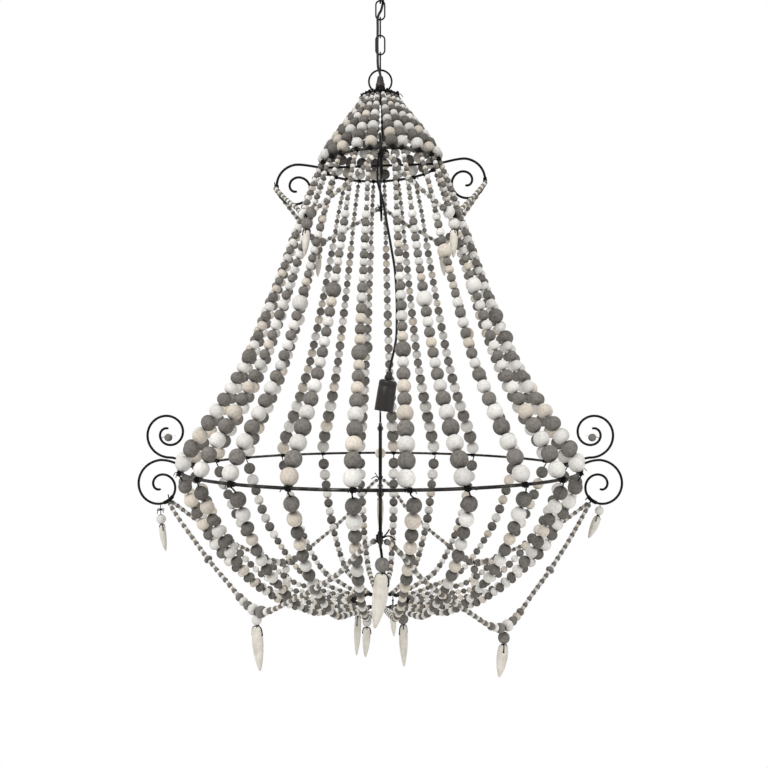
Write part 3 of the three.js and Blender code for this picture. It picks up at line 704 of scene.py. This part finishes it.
def arm_points(hoop_radius, level, azimuth, scroll, sign, start, leaving, ease, steps):
    top = level + scroll[3]
    p0, p1 = (vec(hoop_radius + reach, 0, level + height) for reach, height in (start, leaving))
    p2, p3 = vec(scroll[0] - ease, 0, top), vec(scroll[0], 0, top)
    t = np.linspace(0, 1, steps)[:, None]
    swell = (1 - t) ** 3 * p0 + 3 * (1 - t) ** 2 * t * p1 + 3 * (1 - t) * t * t * p2 + t ** 3 * p3
    spiral = [scroll_place(scroll, share, azimuth, level, sign) for share in np.linspace(0, 1, 110)]
    return np.concatenate([around_z(swell, azimuth), spiral[1:]])


def arm_wire(shape, points, azimuth):
    radii = np.full(len(points), ARM_WIRE / 2)
    radii[-7:] *= np.linspace(1, 0.85, 7)
    tube(shape, points, radii, 12, 1, polar(0.001, azimuth, 1))


def weld(shape, centre, along, size):
    reach = np.linspace(-1, 1, 9)
    radii = size * 0.75 * np.sqrt(np.maximum(0.02, 1 - reach ** 2))
    tube(shape, vec(*centre) + unit(vec(*along)) * reach[:, None] * size, radii, 12, 0)


def upper_frame():
    shape = Shape()
    loop_tube(shape, leaning(circle(UPPER_RADIUS, 144)), UPPER_WIRE / 2)
    for azimuth in SECTORS:
        points = arm_points(UPPER_RADIUS, 0, azimuth, *UPPER_ARM)
        bar = [polar(reach, azimuth, 0) for reach in np.linspace(0, UPPER_RADIUS - 12, 20)]
        arm_wire(shape, leaning([*bar, *points[1:]]), azimuth)
        weld(shape, leaning(polar(UPPER_RADIUS, azimuth, 0)), polar(1, azimuth, 0), 4.4)
    weld(shape, leaning((0, 0, 0)), (1, 1, 0), 4)
    finish(shape, "upper_ironwork", ["upper_frame"], [IRON, BLACK_IRON])


def main_frame():
    shape = Shape()
    loop_tube(shape, circle(MAIN_RADIUS, 320, MAIN_LEVEL), MAIN_WIRE / 2)
    for azimuth in SECTORS:
        for arm in MAIN_ARMS:
            arm_wire(shape, arm_points(MAIN_RADIUS, MAIN_LEVEL, azimuth, *arm), azimuth)
        weld(shape, polar(MAIN_RADIUS + 1, azimuth, MAIN_LEVEL), polar(1, azimuth, 0.5), 4.6)
    finish(shape, "main_ironwork", ["main_frame"], [IRON, BLACK_IRON])


def bottom_hoop():
    shape = Shape()
    loop_tube(shape, circle(BOTTOM_RADIUS, 96, BOTTOM_LEVEL), BOTTOM_WIRE / 2)
    finish(shape, "bottom_ring", ["bottom_hoop"], [IRON])


def crown():
    """The crown's hoop and arch, with the saddle that the cord runs through."""
    shape = Shape()
    loop_tube(shape, circle(CROWN_RADIUS, 96, CROWN_LEVEL), CROWN_WIRE / 2)
    arch = [
        (0, -CROWN_RADIUS * cos(t), CROWN_LEVEL + CROWN_RISE * sin(t))
        for t in np.linspace(0, pi, 40)
    ]
    tube(shape, arch, CROWN_WIRE / 2, 14, 0, (1, 0, 0))
    half = CROWN_WIRE / 2
    hole = CORD_DIAMETER / 2 + 0.4
    saddle = [
        (hole, -half), (8.9, -half), (9.4, -half + 0.5), (9.4, half - 0.5), (8.9, half), (hole, half),
        (hole, -half),
    ]
    turned(shape, saddle, 32, place=moved(0, CLAMP_Y, ARCH_TOP))
    for sign in (-1, 1):
        weld(shape, (0, sign * CROWN_RADIUS, CROWN_LEVEL), (0, 1, 0), 3.6)
    finish(shape, "crown_ironwork", ["crown_hoop"], [BLACK_IRON])


def chain():
    half = LINK_LENGTH / 2 - LINK_WIRE / 2
    bend = LINK_WIDTH / 2 - LINK_WIRE / 2
    outline = []
    for i in range(72):
        turn = (i + 0.5) / 72 * TAU
        lift = (half - bend) * (1 if sin(turn) > 0 else -1)
        outline.append((bend * cos(turn), 0, bend * sin(turn) + lift))
    for index, name in enumerate(LINKS):
        centre = vec(0, 0, FIRST_LINK - index * LINK_PITCH)
        points = around_z(outline, index % 2 * SECTOR) + centre
        shape = Shape()
        loop_tube(shape, points, LINK_WIRE / 2, normal=tangent(index % 2 * SECTOR))
        side = points[np.argmin(np.abs(points[:, 2] - centre[2]))]
        weld(shape, side, (0, 0, 1), 1.95)
        finish(shape, f"link_{index + 1}", [name], [BLACK_IRON], name)
    shape = Shape()
    loop_tube(shape, upright(RING_RADIUS, 96, RING_CENTRE), RING_WIRE / 2, 16, normal=(0, 1, 0))
    finish(shape, "hanging_ring", ["suspension_ring"], [BLACK_IRON], "suspension_ring")


def rose():
    """The rose with its cord bush and two screws, and the eye bolt under it."""
    shape = Shape()
    turned(shape, [
        (0, -ROSE_DEPTH), (14.6, -ROSE_DEPTH), (15.7, -ROSE_DEPTH + 0.4), (16.4, -ROSE_DEPTH + 1.4),
        (18, -20), (24, -17.2), (33, -13.5), (41, -10), (46, -7.2), (48.6, -6), (49.6, -5.2),
        (ROSE_RADIUS, -4.2), (ROSE_RADIUS, -0.8), (49.4, 0), (0, 0),
    ], 64)
    bush = [(2.7, 0.5), (4.6, 0.3), (4.9, -0.25), (2.7, -0.3)]
    turned(shape, bush, 24, 1, moved(*SUPPLY_ROUTE[0][:2], -ROSE_DEPTH))
    screw = [(0, -13.9), (1.9, -13.8), (3.1, -12.9), (3.4, -11.6), (3.4, -9)]
    for sign in (-1, 1):
        turned(shape, screw, 20, place=moved(37 * sign, 0, 0))
    finish(shape, "rose_cover", ["ceiling_rose"], [BLACK_IRON, BAKELITE], "ceiling")
    shape = Shape()
    eye = upright(EYE_RADIUS, 64, EYE_SEAT + EYE_RADIUS, SECTOR)
    loop_tube(shape, eye, EYE_WIRE / 2, normal=(1, 0, 0))
    turned(shape, [
        (0, -22.3), (2.5, -22.3), (2.5, -24), (4.6, -24), (4.8, -24.4), (4.8, -27.2), (4.6, -27.6),
        (2.5, -27.6), (2.4, -34), (1.9, -38), (1.6, -40),
    ], 24)
    finish(shape, "hanging_eye", ["eye_bolt"], [BLACK_IRON], "ceiling")


upper_frame()
main_frame()
bottom_hoop()
crown()
chain()
rose()


# Plastic fittings

HOLDER_LEAN = radians(8.5)


def cord_grip():
    shape = Shape()
    profile = [(2.5, 0), (8.2, 0), (8.65, 0.4), (8.7, 1.2), (8.7, 5.6), (8.4, 6.3), (7.6, 6.6)]
    for k in range(5):
        z = 7.4 + k * 2.3
        r = 7.35 - k * 0.42
        profile += [(r, z), (r, z + 1.2), (r - 0.5, z + 1.5), (r - 0.5, z + 2.1)]
    profile += [(5.2, 19.3), (4.9, 19.9), (4.3, 20.1), (2.5, 20.1)]
    turned(shape, profile, 40, place=moved(0, CLAMP_Y, ARCH_TOP + CROWN_WIRE / 2 + GAP))
    finish(shape, "cord_clamp", ["cord_grip"], [BAKELITE])


def in_holder(points):
    """Points given round the lamp holder's axis, leaned and put under the cord's end."""
    return tilted(points, -HOLDER_LEAN) + vec(*LAMP_ROUTE[-1]) - vec(0, 0, GAP)


def lamp_holder():
    shape = Shape()
    turned(shape, [
        (2.5, 0), (4.8, 0), (5.2, -0.5), (5.3, -2), (5.9, -5), (6.6, -7), (6.7, -7.6), (7.4, -8.2),
        (7.8, -9), (8, -10), (8, -14.4), (7.7, -15), (2.5, -15),
    ], 40, place=in_holder)
    finish(shape, "holder_cap", ["lamp_holder_grip"], [BAKELITE], "lamp")
    shape = Shape()
    turned(shape, [
        (2, -15.3), (8.6, -15.3), (11.5, -15.6), (14.2, -16.6), (16, -18), (17, -19.9), (17.3, -22),
        (17.35, -27), (17, -27.4), (17, -28.6), (17.4, -29), (17.7, -45), (17.9, -60), (18.1, -70),
        (18.1, -75.4), (17.8, -76.2), (17, -76.3), (16.5, -75.8), (16.2, -60), (15.7, -22), (14.4, -18.6),
        (2, -18.4),
    ], 56, place=in_holder)
    finish(shape, "holder_shell", ["lamp_holder_shell"], [BAKELITE], "lamp")
    shape = Shape()
    profile = [(0, -21.3), (13.6, -21.3), (15.2, -21.8), (15.3, -52.4), (15, -53), (13.9, -53.1)]
    for k in range(8):
        z = -51.4 + k * 3.4
        profile += [(13.4, z), (13.8, z + 0.9), (13.9, z + 1.7), (13.8, z + 2.5)]
    profile += [(13.4, -23.7), (5, -23.6)]
    turned(shape, profile, 48, place=in_holder)
    turned(shape, [(4.8, -23.4), (4.6, -25), (4, -25.6), (0, -25.9)], 24, 1, in_holder)
    finish(shape, "holder_insert", ["lamp_holder_insert"], [PORCELAIN, BRASS], "lamp")


cord_grip()
lamp_holder()


# Strings of beads

# How far strings sit from their even places at the upper hoop, and over and under the main hoop, in degrees
DRIFTS = {
    3: (0.5, 2.6, 2.6), 4: (4, 2.6, 2.6), 5: (3.4, 2.6, 2.6), 7: (0, -1.3, -1.3), 8: (0, -0.6, -0.6),
    13: (-2, -2.6, -2.6), 14: (1, 0, -1.2), 15: (-1.5, -1.8, 0.3), 16: (0.3, 1, 1.3), 17: (-1.8, 1.4, 1.4),
    18: (4, -2.1, 0.3), 19: (-2.4, -3.2, -1.2), 20: (0.5, -1.6, 0.1), 21: (3, -1.8, 2), 22: (5, 0.5, 2.6),
}
OTHER_DRIFT = 0.8
TIE_THREAD = 2.5


def drifts(index):
    if index in DRIFTS:
        return [radians(drift) for drift in DRIFTS[index]]
    waist, girth = [radians(rng.uniform(-OTHER_DRIFT, OTHER_DRIFT)) for _ in range(2)]
    return waist, girth, girth


def string_stretches(azimuth, waist_drift, girth_drift, basket_drift):
    """A string's lines from the crown to the upper hoop, to the main hoop and to the bottom hoop."""
    waist_height = UPPER_LEVEL + UPPER_RADIUS * cos(azimuth) * tan(UPPER_LEAN)
    passes = (
        (CROWN_RADIUS, CROWN_WIRE, CROWN_LEVEL, 0.3), (UPPER_RADIUS, UPPER_WIRE, waist_height, 0.6),
        (MAIN_RADIUS, MAIN_WIRE, MAIN_LEVEL, 0.6), (BOTTOM_RADIUS, BOTTOM_WIRE, BOTTOM_LEVEL, 0),
    )
    top, waist, girth, foot = ((r + wire / 2 + GAP + room, level) for r, wire, level, room in passes)
    out = []
    for shares, start, end, start_drift, end_drift in (
        (CROWN_OUTLINE, top, waist, 0, waist_drift),
        (LONG_OUTLINE, waist, girth, waist_drift, girth_drift),
        (BASKET_OUTLINE, girth, foot, basket_drift, 0),
    ):
        flat = outline_curve(shares, start, end)
        turns = azimuth + np.linspace(start_drift, end_drift, len(flat))
        out.append(Path([polar(radius, turn, height) for (radius, height), turn in zip(flat, turns)]))
    return out


def pale_slot(beige_share):
    return BEIGE_SLOT if rng.random() < beige_share else WHITE_SLOT


def bead_row(shape, line, diameters, start, end, first_grey, beige_share, painted_shades):
    """Touching beads of uneven sizes, grey and pale by turns, with the row's painted shade added to their
    tone.
    """
    sizes = [diameter * rng.uniform(0.94, 1.04) for diameter in diameters]
    spread = (end - start) / sum(sizes)
    place = start
    for i, size in enumerate(sizes):
        length = size * spread
        middle = place + length / 2
        grey = (i % 2 == 0) == first_grey
        slot = GREY_SLOT if grey else pale_slot(beige_share)
        # A random tone plus the row's painted shade for a grey or pale bead
        tone = rng.gauss(0, 0.35) + painted_shades[0 if grey else 1]
        bead(shape, line.at(middle), line.along(middle), size, slot, tone, min(1.0, length / size))
        place += length


def bead_string(index):
    azimuth = (index + 0.5) / STRING_COUNT * TAU
    waist_drift, girth_drift, basket_drift = drifts(index)
    tie_drift = (girth_drift + basket_drift) / 2
    crown_line, long_line, basket_line = string_stretches(azimuth, waist_drift, girth_drift, basket_drift)
    shape = Shape()
    tube(shape, [*crown_line.points, *long_line.points[1:]], THREAD / 2)
    below_tie = np.linspace(TIE_BELOW - 0.5, basket_line.length, 60)
    tube(shape, [basket_line.at(mark) for mark in below_tie], THREAD / 2)
    beige_share = rng.uniform(0.1, 0.45)
    long_beads = list(LONG_BEADS)
    accented = index in ACCENT_PLACES
    long_beads.insert(ACCENT_PLACES.get(index, PLAIN_PLACE), ACCENT_BEAD if accented else PLAIN_BEAD)
    crown_ends_pale = index != GREY_CROWN_END and rng.random() < 0.9
    # Each row ends with its painted shade for grey and pale beads: darker in the crown, darker on the
    # basket's grey beads and a touch of painted light on its pale ones
    rows = (
        (crown_line, CROWN_BEADS, TIE_ABOVE, TIE_ABOVE, crown_ends_pale, (-1.3, -0.7)),
        (long_line, long_beads, TIE_ABOVE + rng.uniform(0, 3), TIE_ABOVE, True, (0, 0)),
        (basket_line, BASKET_BEADS, TIE_BELOW, TIE_ABOVE, True, (-0.9, 0.1)),
    )
    for line, beads, above, below, first_grey, painted_shades in rows:
        bead_row(shape, line, beads, above, line.length - below, first_grey, beige_share, painted_shades)
    ties = (
        (CROWN_RADIUS, azimuth, CROWN_LEVEL, CROWN_WIRE, rng.uniform(0.85, 1.7)),
        (UPPER_RADIUS, azimuth + waist_drift, long_line.points[0][2], UPPER_WIRE, rng.uniform(0.9, 1.2)),
        (MAIN_RADIUS, azimuth + tie_drift, MAIN_LEVEL, MAIN_WIRE, rng.uniform(1.25, 1.6)),
        (BOTTOM_RADIUS, azimuth, BOTTOM_LEVEL, BOTTOM_WIRE, rng.uniform(0.8, 1.0)),
    )
    for radius, turn, height, wire, size in ties:
        knot(shape, polar(radius, turn, height), tangent(turn), wire, polar(1, turn, 0), size)
    heart = polar(MAIN_RADIUS + MAIN_WIRE / 2 + 2, azimuth + tie_drift, MAIN_LEVEL - 2)
    first = basket_line.at(TIE_BELOW + 1)
    slack = (heart + first) / 2 + tangent(azimuth) * rng.uniform(-2.4, 2.4)
    tube(shape, through([heart, slack, first], 4), TIE_THREAD / 2)
    name = f"bead_string_{index + 1:02d}"
    finish(shape, f"string_{index + 1:02d}", [name])


for index in range(STRING_COUNT):
    bead_string(index)


# Festoons

FESTOON_TIE = 6.5
FESTOON_NECK = 5
FESTOON_THREAD = 2
FESTOON_BEAD = 7.5
LARGE_SQUASH = 0.86
CAD_ARM_WIRE = 4.2
UPPER_TIE = 1 / 4 / ARM_TURNS
LOWER_TIE = 7 / 18
SPAN_STEPS, CURVE_STEPS = 3, 12

# Large beads before and after each quarter's low point, larger towards it. They alternate from the
# low point's grey or pale one, and an even number starts pale, so that small and large ones do too.
UPPER_FESTOON = dict(
    low_radius=182, falls=[86] * 4, sag=4, accent=0,
    before=[[15, 18], [18.5], [12, 19], [12.5, 21.5]], after=[[18.5], [14, 18], [20], [17.5]],
)
LOWER_FESTOON = dict(
    low_radius=289, falls=[159, 159, 154, 181], sag=17, accent=15.5,
    before=[[14.5, 14, 16.5], [13.5, 14.5, 16, 18], [14.5, 15.5, 16, 19.5], [13.5, 13.5, 17.5]],
    after=[[13.5, 14.5, 16, 18.5], [13.5, 15, 18], [11.5, 12.5, 20.5], [13.5, 14.5, 15.5, 20]],
)


def on_upper_scroll(azimuth, share, out=0.0):
    return leaning(scroll_place(UPPER_SCROLL, share, azimuth, out=out))


def on_falling_scroll(azimuth, share, out=0.0):
    return scroll_place(FALLING_SCROLL, share, azimuth, MAIN_LEVEL, out=out)


def upper_tie(azimuth):
    return on_upper_scroll(azimuth, UPPER_TIE, CAD_ARM_WIRE / 2 + 1.5 * GAP + FESTOON_THREAD / 2)


def under_scroll(azimuth, share, reach):
    return on_falling_scroll(azimuth, share, CAD_ARM_WIRE / 2 + GAP + reach)


def lower_tie(azimuth):
    return under_scroll(azimuth, LOWER_TIE, FESTOON_THREAD / 2)


def low_point(tie, festoon, quarter):
    height = (tie(0)[2] + tie(pi)[2]) / 2 - festoon["falls"][quarter]
    return polar(festoon["low_radius"], (quarter + 0.5) * SECTOR, height)


def festoon_line(tie, festoon):
    """The festoon's line, and the marks along it of its ties and low points."""
    points = []
    for quarter in range(4):
        low = low_point(tie, festoon, quarter)
        for start, end in ((tie(quarter * SECTOR), low), (low, tie((quarter + 1) * SECTOR))):
            for share in np.arange(SPAN_STEPS) / SPAN_STEPS:
                sag = festoon["sag"] * 4 * share * (1 - share)
                points.append(start + (end - start) * share - vec(0, 0, sag))
    side = vec(0, FESTOON_THREAD / 2 + GAP / 2, 0)
    points[0] = points[0] + side
    points.append(tie(0) - side)
    line = Path(through(points, CURVE_STEPS))
    return line, [line.marks[min(k * SPAN_STEPS * CURVE_STEPS, len(line.marks) - 1)] for k in range(9)]


def festoon_half(shape, line, where, length, large, accent):
    """Small beads from the tie, one larger among them, then the large beads to the low point."""
    run_end = length - FESTOON_NECK / 2 - sum(large) * LARGE_SQUASH
    count = round((run_end - FESTOON_TIE) / FESTOON_BEAD) // 2 * 2
    step = (run_end - FESTOON_TIE) / count
    for i in range(count):
        middle = where(FESTOON_TIE + (i + 0.5) * step)
        slot = GREY_SLOT if i % 2 == 0 else pale_slot(0.3)
        size = FESTOON_BEAD * (rng.uniform(1.12, 1.22) if slot == GREY_SLOT else rng.uniform(1.0, 1.1))
        if accent and i == count * 5 // 8 // 2 * 2:
            size = accent
        length_share = min(1, step / size * 1.04)
        bead(shape, line.at(middle), line.along(middle), size, slot, rng.gauss(0, 0.4), length_share, 0.62)
    place = length - FESTOON_NECK / 2
    for k, diameter in enumerate(reversed(large)):
        middle = where(place - diameter * LARGE_SQUASH / 2)
        slot = GREY_SLOT if (len(large) - k) % 2 else pale_slot(0.15)
        tone = rng.gauss(0, 0.3)
        bead(shape, line.at(middle), line.along(middle), diameter, slot, tone, LARGE_SQUASH, 0.8)
        place -= diameter * LARGE_SQUASH


def festoon(name, tie, sizes):
    line, marks = festoon_line(tie, sizes)
    shape = Shape()
    tube(shape, line.points, FESTOON_THREAD / 2 * 0.8)
    for quarter in range(4):
        start, low, end = marks[2 * quarter:2 * quarter + 3]
        before, after = sizes["before"][quarter], sizes["after"][quarter]
        festoon_half(shape, line, lambda reach: start + reach, low - start, before, sizes["accent"])
        festoon_half(shape, line, lambda reach: end - reach, end - low, after, sizes["accent"])
    for quarter in range(4):
        heart = low_point(tie, sizes, quarter)
        down = polar(0.6, (quarter + 0.5) * SECTOR, -1)
        knot(shape, heart, line.along(marks[2 * quarter + 1]), 1.2, down, 0.95)
    finish(shape, f"{name}_beads", [name])


def tie_windings(name, on_scroll, middle, reach, tie, size):
    """Thread wound on each scroll where the festoon is tied, with its knots and a loose end."""
    shape = Shape()
    for azimuth in SECTORS:
        points = [on_scroll(azimuth, share) for share in np.linspace(middle - reach, middle + reach, 9)]
        winding(shape, points, ARM_WIRE, 1.7)
        along = unit(points[-1] - points[0])
        for shift in (-5, 0, 4.5):
            side = tangent(azimuth) * rng.choice((-1, 1)) * (ARM_WIRE / 2 + 1.2)
            lump(shape, points[4] + along * shift + side, along, rng.uniform(1.9, 2.6))
        heart = tie(azimuth) + vec(0, 0, 1.5)
        for length, drop in ((13, -14), (22, 1)):
            out = unit(tangent(azimuth) + polar(rng.uniform(-0.3, 0.3), azimuth, 0))
            loose_end(shape, heart, out, length * size, drop * size, 1.05)
    finish(shape, name, ())


festoon("upper_festoon", upper_tie, UPPER_FESTOON)
festoon("lower_festoon", lower_tie, LOWER_FESTOON)
tie_windings("upper_tie_windings", on_upper_scroll, UPPER_TIE, 0.016, upper_tie, 0.6)
tie_windings("lower_tie_windings", on_falling_scroll, LOWER_TIE, 0.034, lower_tie, 1)


# Pendants: (azimuth, thread, bead, tusk length, tusk width, lean, sway, grey bead, the way its hole faces)

SCROLL_PENDANTS = {
    "right": (0, 0.4, 17, 43, 17, -22, 0, False, -115),
    "front": (-90, 13, 20.5, 76.5, 22, 0, 8, True, -28),
    "left": (180, 16, 18, 51, 14, -10, 0, False, -60),
    "back": (90, 20, 18, 85, 16, 3, 0, True, 70),
}
UPPER_PENDANTS = {
    "back_right": (45, 3, 18, 44, 14, 2, 4, False, 20),
    "back_left": (135, 3, 18, 46, 14, -2, -3, True, 110),
    "front_left": (-135, 3, 20, 45, 14, 2, 4, True, -165),
    "front_right": (-45, 3, 19.5, 49, 15, 1, 2, False, -25),
}
LOWER_PENDANTS = {
    "back_right": (45, 4, 17, 70, 18, 2, 5, True, 60),
    "back_left": (135, 4, 17, 66, 18, -2, 4, False, 150),
    "front_left": (-135, 3, 17, 72, 20.5, 1, -10, False, -25),
    "front_right": (-45, 4, 19.5, 52, 20, -1, 11, True, -88),
}
BOTTOM_PENDANTS = {
    "back_right": (60, 15, 16, 45, 12, 1, 2, False, 20),
    "back_left": (150, 15, 17, 75, 15, 2, -3, False, 80),
    "front_left": (-120, 16, 17, 56, 15, 1, 3, False, -5),
    "front_right": (-30, 14, 20, 79, 18, 1, -2, True, -150),
}
SCROLL_SEAT = 1 / 3
TIP = 1.6
SWAY_BACK = {"scroll_pendant_front": 1.0}
BOUND_NECKS = ("scroll_pendant_front",)
TUSK_FLAT = 0.88
HOLE_SHARE = 0.2
TUSK_PROFILE = [
    (0.1, 0), (0.26, 0.008), (0.35, 0.03), (0.42, 0.07), (0.465, 0.14), (0.495, 0.24), (0.5, 0.34),
    (0.48, 0.46), (0.43, 0.6), (0.35, 0.73), (0.26, 0.84), (0.175, 0.92), (0.115, 0.97), (0.05, 0.997),
]
TUSK_RADII, TUSK_SHARES = zip(*TUSK_PROFILE)


class Tusk:
    """A carved tusk along the end of a pendant's line."""

    def __init__(self, line, start, width, across):
        self.line, self.start, self.width, self.across = line, start, width, across
        self.span = line.length - start

    def surface(self, share, turn, proud=0.0):
        at = self.start + self.span * share
        along = self.line.along(at)
        side = unit(self.across - along * np.dot(self.across, along))
        front = np.cross(along, side)
        radius = np.interp(share, TUSK_SHARES, TUSK_RADII) * self.width + proud
        return self.line.at(at) + radius * (cos(turn) * side + sin(turn) * front * TUSK_FLAT)

    def rows(self):
        return [[self.surface(share, turn) for turn in ring_angles(24)] for share in TUSK_SHARES]


def tusk_threads(shape, tusk, top, drilled):
    """The thread from the bead, over both faces of the tusk and through the hole drilled in it."""
    for face in (drilled, drilled + pi):
        shares = 0.015, 0.07, HOLE_SHARE * 0.7, HOLE_SHARE
        over = [tusk.surface(share, face, THREAD_END) for share in shares]
        inside = tusk.surface(HOLE_SHARE, face, -3)
        tube(shape, through([top, *over, inside], 6), THREAD_END)
        eyelet = [
            tusk.surface(HOLE_SHARE + 0.022 * sin(t), face + 0.16 * cos(t), 0.05)
            for t in ring_angles(10)
        ]
        outwards = tusk.surface(HOLE_SHARE, face, 1) - tusk.surface(HOLE_SHARE, face)
        loop_tube(shape, eyelet, 0.35, 5, THREAD_SLOT, outwards)


def pendant(name, seat, azimuth, drop, bead_size, tusk_length, width, lean, sway, grey, facing):
    towards = polar(1, azimuth, 0)
    facing = radians(facing)
    drilled = pi / 2 + azimuth - facing
    up = vec(0, 0, 1)
    across = np.cross(up, towards)
    bead_end = TIP + drop + bead_size
    length = bead_end + TIP + tusk_length
    t = np.linspace(0, 1, 60)[:, None]
    bend = seat - up * bead_end + across * sway * SWAY_BACK.get(name, 0.35)
    tip = seat - up * length + towards * lean - across * sway
    line = Path((1 - t) ** 2 * seat + 2 * (1 - t) * t * bend + t * t * tip)
    scale = line.length / length
    shape = Shape()
    tube(shape, [line.at(mark) for mark in np.linspace(0.2, bead_end + 2, 12)], THREAD_END)
    slot = GREY_SLOT if grey else WHITE_SLOT
    middle = (TIP + drop + bead_size / 2) * scale
    bead(shape, line.at(middle), line.along(middle), bead_size, slot, rng.gauss(0, 0.25))
    tusk = Tusk(line, (bead_end + TIP) * scale, width, across)
    shape.grid(tusk.rows(), BONE_SLOT)
    heart = line.at((bead_end + TIP * 0.5) * scale)
    tusk_threads(shape, tusk, heart, drilled)
    lump(shape, heart, across, 1.7)
    for sign in (-1, 1):
        out = polar(1, facing + sign * rng.uniform(0.9, 1.5), 0)
        loose_end(shape, heart, out, rng.uniform(5, 9), rng.uniform(4, 8))
    if name in BOUND_NECKS:
        winding(shape, [line.at(mark) for mark in np.linspace(0.3, TIP + drop, 8)], 1.2)
    elif drop > 6:
        bow_tie(shape, line.at(TIP + drop * 0.45))
    finish(shape, f"{name}_tusk", [name], body=name)


def bow_tie(shape, heart):
    """A bow in a long thread: a knot with two loops and two loose ends."""
    up = vec(0, 0, 1)
    first = polar(1, rng.uniform(0, TAU), 0)
    lump(shape, heart, up, 1.7)
    for out in (-first, first):
        bow = [heart, heart + out * 4 + up * 2.4, heart + out * 7 - up, heart + out * 3 - up * 1.5, heart]
        tube(shape, through(bow, 6), THREAD_END * 0.8)
        loose_end(shape, heart, out, rng.uniform(5, 8), rng.uniform(6, 10))


def pendants(place, sizes, seat_of):
    for side, (degrees, *rest) in sizes.items():
        azimuth = radians(degrees)
        pendant(f"{place}_pendant_{side}", seat_of(azimuth), azimuth, *rest)


def under_festoon(tie, sizes):
    """Seats of pendants just under a festoon's low points."""
    def seat(azimuth):
        quarter = round(azimuth / SECTOR - 0.5 + 4) % 4
        return low_point(tie, sizes, quarter) - vec(0, 0, FESTOON_THREAD / 2 + 1.5 * GAP)
    return seat


def under_bottom_hoop(azimuth):
    facet = BOTTOM_RADIUS * cos(pi / STRING_COUNT)
    return polar(facet, azimuth, BOTTOM_LEVEL - BOTTOM_WIRE / 2 - GAP)


pendants("scroll", SCROLL_PENDANTS, lambda azimuth: under_scroll(azimuth, SCROLL_SEAT, 0))
pendants("upper", UPPER_PENDANTS, under_festoon(upper_tie, UPPER_FESTOON))
pendants("lower", LOWER_PENDANTS, under_festoon(lower_tie, LOWER_FESTOON))
pendants("bottom", BOTTOM_PENDANTS, under_bottom_hoop)


def curl_beads():
    """A small bead on a thread inside each rising scroll."""
    centre, start, _, rise = RISING_SCROLL
    for i, azimuth in enumerate(SECTORS):
        shape = Shape()
        heart = polar(centre, azimuth, MAIN_LEVEL + rise + start - 7.6)
        bead(shape, heart, polar(1, azimuth, 0.4), 15, GREY_SLOT if i < 3 else BEIGE_SLOT, 0.1)
        inwards = polar(-1, azimuth, 0.25)
        strand = [heart + inwards * 5, heart + inwards * 9 + vec(0, 0, 1.5), heart + inwards * 14]
        tube(shape, through(strand, 5), 0.5, slot=WHITE_SLOT)
        hung = [heart + polar(reach, azimuth, lift) for reach, lift in ((4, 0), (9, 1), (13, -1))]
        tube(shape, through(hung, 5), 0.6)
        finish(shape, f"curl_bead_{i + 1}", ())


curl_beads()
